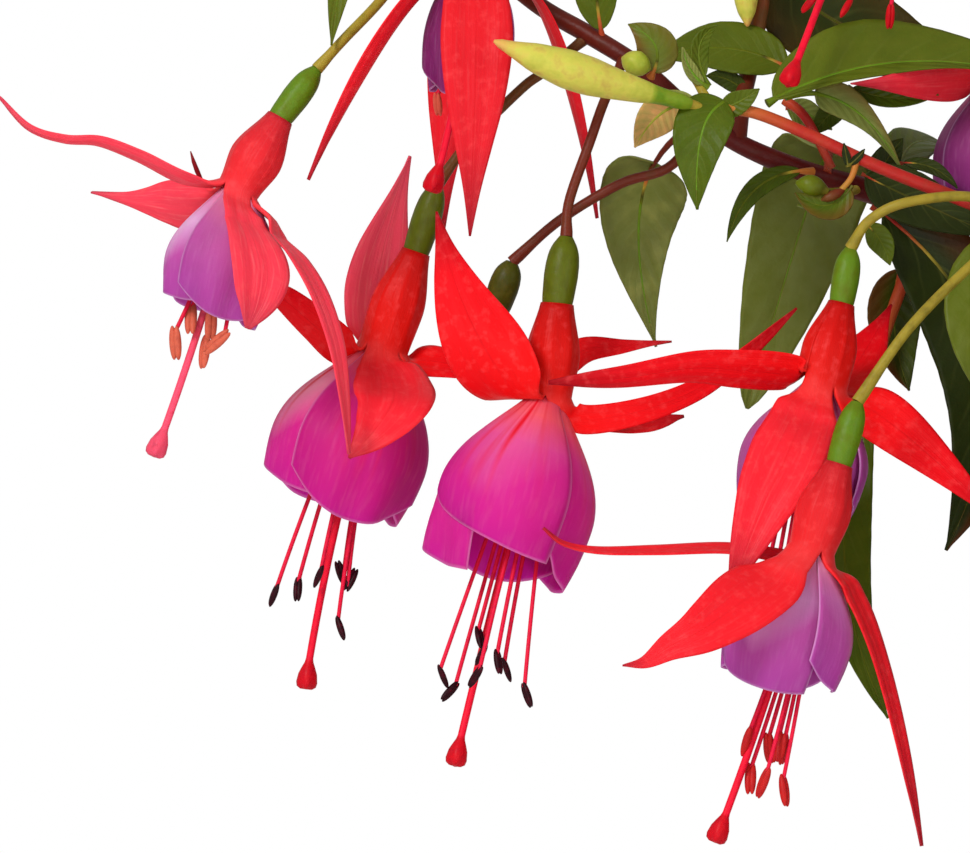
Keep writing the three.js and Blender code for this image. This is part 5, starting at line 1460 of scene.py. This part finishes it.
def addTurned(pile, profile, sides, centre=(0, 0)):
    angles = ringAngles(sides)
    pile.rings([ringAt(r, z, angles) + [*centre, 0] for r, z in profile])


def addLug(pile, look, azimuth):
    out, side = heading(azimuth), heading(azimuth + 90)
    reach, wide = (look["lugTo"] - look["lugFrom"]) / 2, look["lugWidth"] / 2
    axis = out * (look["lugTo"] + look["lugFrom"]) / 2
    outer, inner = [], []
    for a in ringAngles(look["lugSides"]):
        x, y = math.cos(a), math.sin(a)
        bulge = (abs(x) ** 6 + abs(y) ** 6) ** (-1 / 6)
        outer.append(axis + out * reach * x * bulge + side * wide * y * bulge)
        inner.append(out * (look["holeAt"] + look["holeR"] * x) + side * look["holeR"] * y)
    outer, inner = np.array(outer), np.array(inner)
    top = look["rimZ"] - look["lugDrop"]
    low = top - look["lugThick"]
    rows = []
    edge = [(low, 0.8), (low + 0.6, 0.15), (low + 1, 0), (top - 1, 0), (top - 0.6, 0.15), (top, 0.8)]
    for ring, z, shrink in [(inner, low, 0), *[(outer, *spot) for spot in edge], (inner, top, 0)]:
        pulled = ring + (axis - ring) * (shrink / np.linalg.norm(axis - ring, axis=1))[:, None]
        rows.append(pulled + up * z)
    pile.rings([*rows, rows[0]])


def potProfile(look):  # radii and heights from the middle of the foot, up the outside and down the inside
    top, base, rim, footR = look["rimZ"], look["baseZ"], look["rimR"], look["footR"]
    outer = rim - look["step"]
    inner = outer - look["wall"]
    foot, floor, inside = top - look["band"], base + look["floor"], footR - look["wall"]
    profile = [[0, base + 1.2], [36, base + 1.2], [42, base + 0.4], [46, base], [footR - 3, base]]
    profile.append([footR - 1, base + 0.7])
    for share in np.linspace(0, 1, look["wallRows"] + 1)[:-1]:
        profile.append([footR + (outer - footR) * share, base + 3 + (foot - base - 3) * share])
    profile += [[outer, foot], [rim - 0.5, foot + 0.1], [rim, foot + 0.8], [rim + 0.1, foot + 3.6]]
    profile += [[rim - 0.4, foot + 4.2], [rim - 0.4, foot + 4.9]]
    profile += [[rim + 0.2, foot + 5.4], [rim + 0.5, top - 1.2]]
    profile += [[rim + 0.2, top - 0.3], [rim - 0.8, top], [inner + 0.7, top], [inner + 0.1, top - 0.4]]
    profile += [[inner, top - 1.2], [inner, foot], [inner - 5, top - 20]]
    profile += [[inside, floor + 3], [inside - 3, floor]]
    return [*profile, [0, floor]]


def buildPot(look):
    pile = Pile()
    addTurned(pile, potProfile(look), look["sides"])
    for azimuth in look["lugs"]:
        addLug(pile, look, azimuth)
    return pile.build("pot_shell", [potSkin])


soilLook = {
    "sides": 96, "bedR": 88, "bedRows": 34, "swell": 0.6, "grain": 1.3,
    "under": [(0, -452.1), (63.5, -452.1), (67, -448), (80, -400), (94.6, -345), (91, soilTop - 0.5)],
    "crumbs": {"Density": 90000.0, "Smallest": 0.0006, "Largest": 0.0022, "Seed": 5, "Tone": 0.05},
    "grit": {"Density": 9000.0, "Smallest": 0.0008, "Largest": 0.0018, "Seed": 11, "Tone": 0.6},
}


def buildSoil(look):
    angles = ringAngles(look["sides"])
    rows = [ringAt(r, z, angles) for r, z in look["under"]]
    for r in np.linspace(look["bedR"], 0, look["bedRows"]):
        hump = 1.4 * np.sin(r * 0.31 + 3 * np.cos(angles * 3)) * np.cos(angles * 5 + r * 0.13)
        grain = np.array([scatter(round(r * 7 + k * 1.7, 3)) for k in range(look["sides"])]) * look["grain"]
        rows.append(ringAt(r, soilTop - 0.8 + (look["swell"] * hump + grain) * min(1, r / 6), angles))
    pile = Pile()
    pile.rings(rows, tone=0.0)
    return pile.build("soil_bed", [soilSkin])


def buildCrumbTree():
    tree, given = newTree("soilCrumbs", {
        "Density": "NodeSocketFloat", "Smallest": "NodeSocketFloat", "Largest": "NodeSocketFloat",
        "Seed": "NodeSocketInt", "Tone": "NodeSocketFloat", "Skin": "NodeSocketMaterial",
    })
    spots = node(tree, "GeometryNodeDistributePointsOnFaces", {
        "Mesh": given["Geometry"], "Density": given["Density"], "Seed": given["Seed"],
    })
    crumb = node(tree, "GeometryNodeMeshIcoSphere", {"Radius": 1.0, "Subdivisions": 1})
    anyTurn = node(tree, "FunctionNodeRandomValue", {1: (6.3, 6.3, 6.3), "Seed": given["Seed"]},
                   data_type="FLOAT_VECTOR")
    anySize = node(tree, "FunctionNodeRandomValue", {
        2: given["Smallest"], 3: given["Largest"], "Seed": given["Seed"],
    }, data_type="FLOAT")
    flat = {0: (1.0, 0.8, 0.6), "Scale": anySize.outputs[1]}
    squashed = node(tree, "ShaderNodeVectorMath", flat, operation="SCALE")
    scattered = node(tree, "GeometryNodeInstanceOnPoints", {
        "Points": spots.outputs["Points"], "Instance": crumb.outputs[0], "Rotation": anyTurn.outputs[0],
        "Scale": squashed.outputs[0],
    })
    real = node(tree, "GeometryNodeRealizeInstances", {"Geometry": scattered.outputs[0]})
    closeTree(tree, stored(tree, real.outputs[0], "tone", given["Tone"]), given["Skin"])
    return tree


def scatterOn(name, radius, z, inputs):  # crumbs on a flat disc that itself isn't kept
    disc = bmesh.new()
    bmesh.ops.create_circle(disc, cap_ends=True, segments=48, radius=radius * mm)
    bmesh.ops.translate(disc, verts=disc.verts, vec=(0, 0, z * mm))
    mesh = bpy.data.meshes.new(name)
    disc.to_mesh(mesh)
    disc.free()
    return grown(name, mesh, crumbTree, {**inputs, "Skin": soilSkin})


def addWire(pile, points, radius, sides):  # a rod with rounded ends
    ends = [0.45, 0.85]
    first, last = unit(points[1] - points[0]), unit(points[-2] - points[-1])
    inset = [radius * (1 - math.sqrt(1 - e * e)) for e in ends]
    line = [points[0], *[points[0] + first * i for i in inset], *points[1:-1]]
    line += [*[points[-1] + last * i for i in reversed(inset)], points[-1]]
    rounded = [radius * 0.2, *[radius * e for e in ends]]
    radii = [*rounded, *[radius] * (len(points) - 2), *reversed(rounded)]
    addTube(pile, line, radii, sides)


def addBall(pile, centre, radius, rings=16, sides=24):
    turns = np.linspace(0, math.pi, rings + 1)
    profile = [[radius * math.sin(a), centre[2] - radius * math.cos(a)] for a in turns]
    addTurned(pile, profile, sides, centre[:2])


hookLook = {"innerR": 14.0, "wireR": 2.0, "shankZ": -58.0, "from": -78, "to": 205, "steps": 72, "sides": 24}
crownLook = {"z": -66.0, "r": 7.0, "height": 12.0, "sides": 48}
armLook = {
    "wireR": 1.3, "topR": 4.0, "topZ": -67.0, "bottomR": 108.0, "beadR": 3.0, "lugTop": -333.0,
    "lugLow": -337.0, "steps": 14, "sides": 14,
}


def buildHook(look, crown):
    pile = Pile()
    bend = look["innerR"] + look["wireR"]
    turns = np.radians(np.linspace(look["to"], look["from"], look["steps"]))
    points = [np.array([bend * math.cos(a), 0, bend * math.sin(a) - look["innerR"]]) for a in turns]
    knee = points[-1]
    points += [arch(knee, [0, 0, knee[2] - 5], [0, 0, knee[2] - 12])(t) for t in np.linspace(0.15, 1, 7)]
    points += [up * (look["shankZ"] + 2), up * (look["shankZ"] - 6)]
    addWire(pile, points, look["wireR"], look["sides"])
    top, base, r = crown["z"] + crown["height"] / 2, crown["z"] - crown["height"] / 2, crown["r"]
    profile = [[0, base], [r - 1, base], [r - 0.3, base + 0.3], [r, base + 1], [r, base + 4]]
    profile += [[r - 0.5, base + 4.6], [r - 0.5, base + 7.4], [r, base + 8]]
    profile += [[r, top - 1], [r - 0.3, top - 0.3], [r - 1, top], [0, top]]
    addTurned(pile, profile, crown["sides"])
    return pile.build("hook_wire", [steelSkin])


def buildArm(azimuth, look):
    out = heading(azimuth)
    high = out * look["topR"] + up * look["topZ"]
    lug = out * look["bottomR"] + up * (look["lugTop"] + look["lugLow"]) / 2
    points = [high + (lug - high) * t for t in np.linspace(0, 1, look["steps"])]
    points += [lug - up * 4, lug - up * 7]
    pile = Pile()
    addWire(pile, points, look["wireR"], look["sides"])
    addBall(pile, lug - up * (look["beadR"] + 2.3), look["beadR"])
    return pile.build(f"arm_{azimuth}", [steelSkin])


crumbTree = buildCrumbTree()
place(buildPot(potLook), "pot", "pot")
place(buildSoil(soilLook), "soil", "soil")
place(scatterOn("soil_crumbs", 90.0, soilTop - 0.2, soilLook["crumbs"]), "soil", "soil")
place(scatterOn("soil_grit", 88.0, soilTop + 0.2, soilLook["grit"]), "soil", "soil")
place(buildHook(hookLook, crownLook), "wire", "hook")
for azimuth in potLook["lugs"]:
    place(buildArm(azimuth, armLook), "wire", f"hanger_arm_{azimuth}")
print("stage: basket built")


# The view: the spray from the front, on white, with a soft key from upper left

viewLook = {
    "at": (-0.190, -2.0, -0.345), "lens": 445.4, "sensor": 36.0, "farthest": 60.0, "sky": 0.5,
    "backdrop": 1.0, "floorZ": -0.8, "floorSpan": 7.0, "lampsAt": (-0.15, 0, -0.35),
    "lamps": {  # place, size and power
        "key": ((-1.1, -1.5, 0.75), 0.6, 25.0), "fill": ((1.3, -1.6, -0.1), 1.2, 9.0),
        "lift": ((-0.3, -1.9, -0.8), 1.0, 14.0),
    },
}


def addLamp(name, where, size, power):
    lamp = bpy.data.lights.new(name, "AREA")
    lamp.shape = "DISK"
    lamp.size = size
    lamp.energy = power
    held = newObject(name, lamp)
    held.location = where
    aim = np.array(viewLook["lampsAt"]) - np.array(where)
    tilt = math.acos(-aim[2] / np.linalg.norm(aim))
    held.rotation_euler = (tilt, 0, math.atan2(aim[1], aim[0]) - math.pi / 2)


lens = bpy.data.cameras.new("camera")
lens.lens = viewLook["lens"]
lens.sensor_width = viewLook["sensor"]
lens.clip_end = viewLook["farthest"]
camera = newObject("camera", lens)
camera.location = viewLook["at"]
camera.rotation_euler = (math.pi / 2, 0, 0)
scene.camera = camera

floorMesh = bpy.data.meshes.new("floor")
span, level = viewLook["floorSpan"], viewLook["floorZ"]
corners = [(-span, -span, level), (span, -span, level), (span, span, level), (-span, span, level)]
floorMesh.from_pydata(corners, [], [(0, 1, 2, 3)])
floorMesh.materials.append(floorMaterial())
newObject("floor", floorMesh)

for name, (where, size, power) in viewLook["lamps"].items():
    addLamp(name, where, size, power)

world = bpy.data.worlds.new("paleSky")
scene.world = world
world.use_nodes = True
sky = world.node_tree
seen = node(sky, "ShaderNodeLightPath").outputs["Is Camera Ray"]
brightness = node(sky, "ShaderNodeMapRange", {0: seen, 3: viewLook["sky"], 4: viewLook["backdrop"]})
sky.nodes["Background"].inputs["Color"].default_value = (1, 1, 1, 1)
sky.links.new(brightness.outputs[0], sky.nodes["Background"].inputs["Strength"])
scene.view_settings.view_transform = "Standard"

print("stage: scene ready")
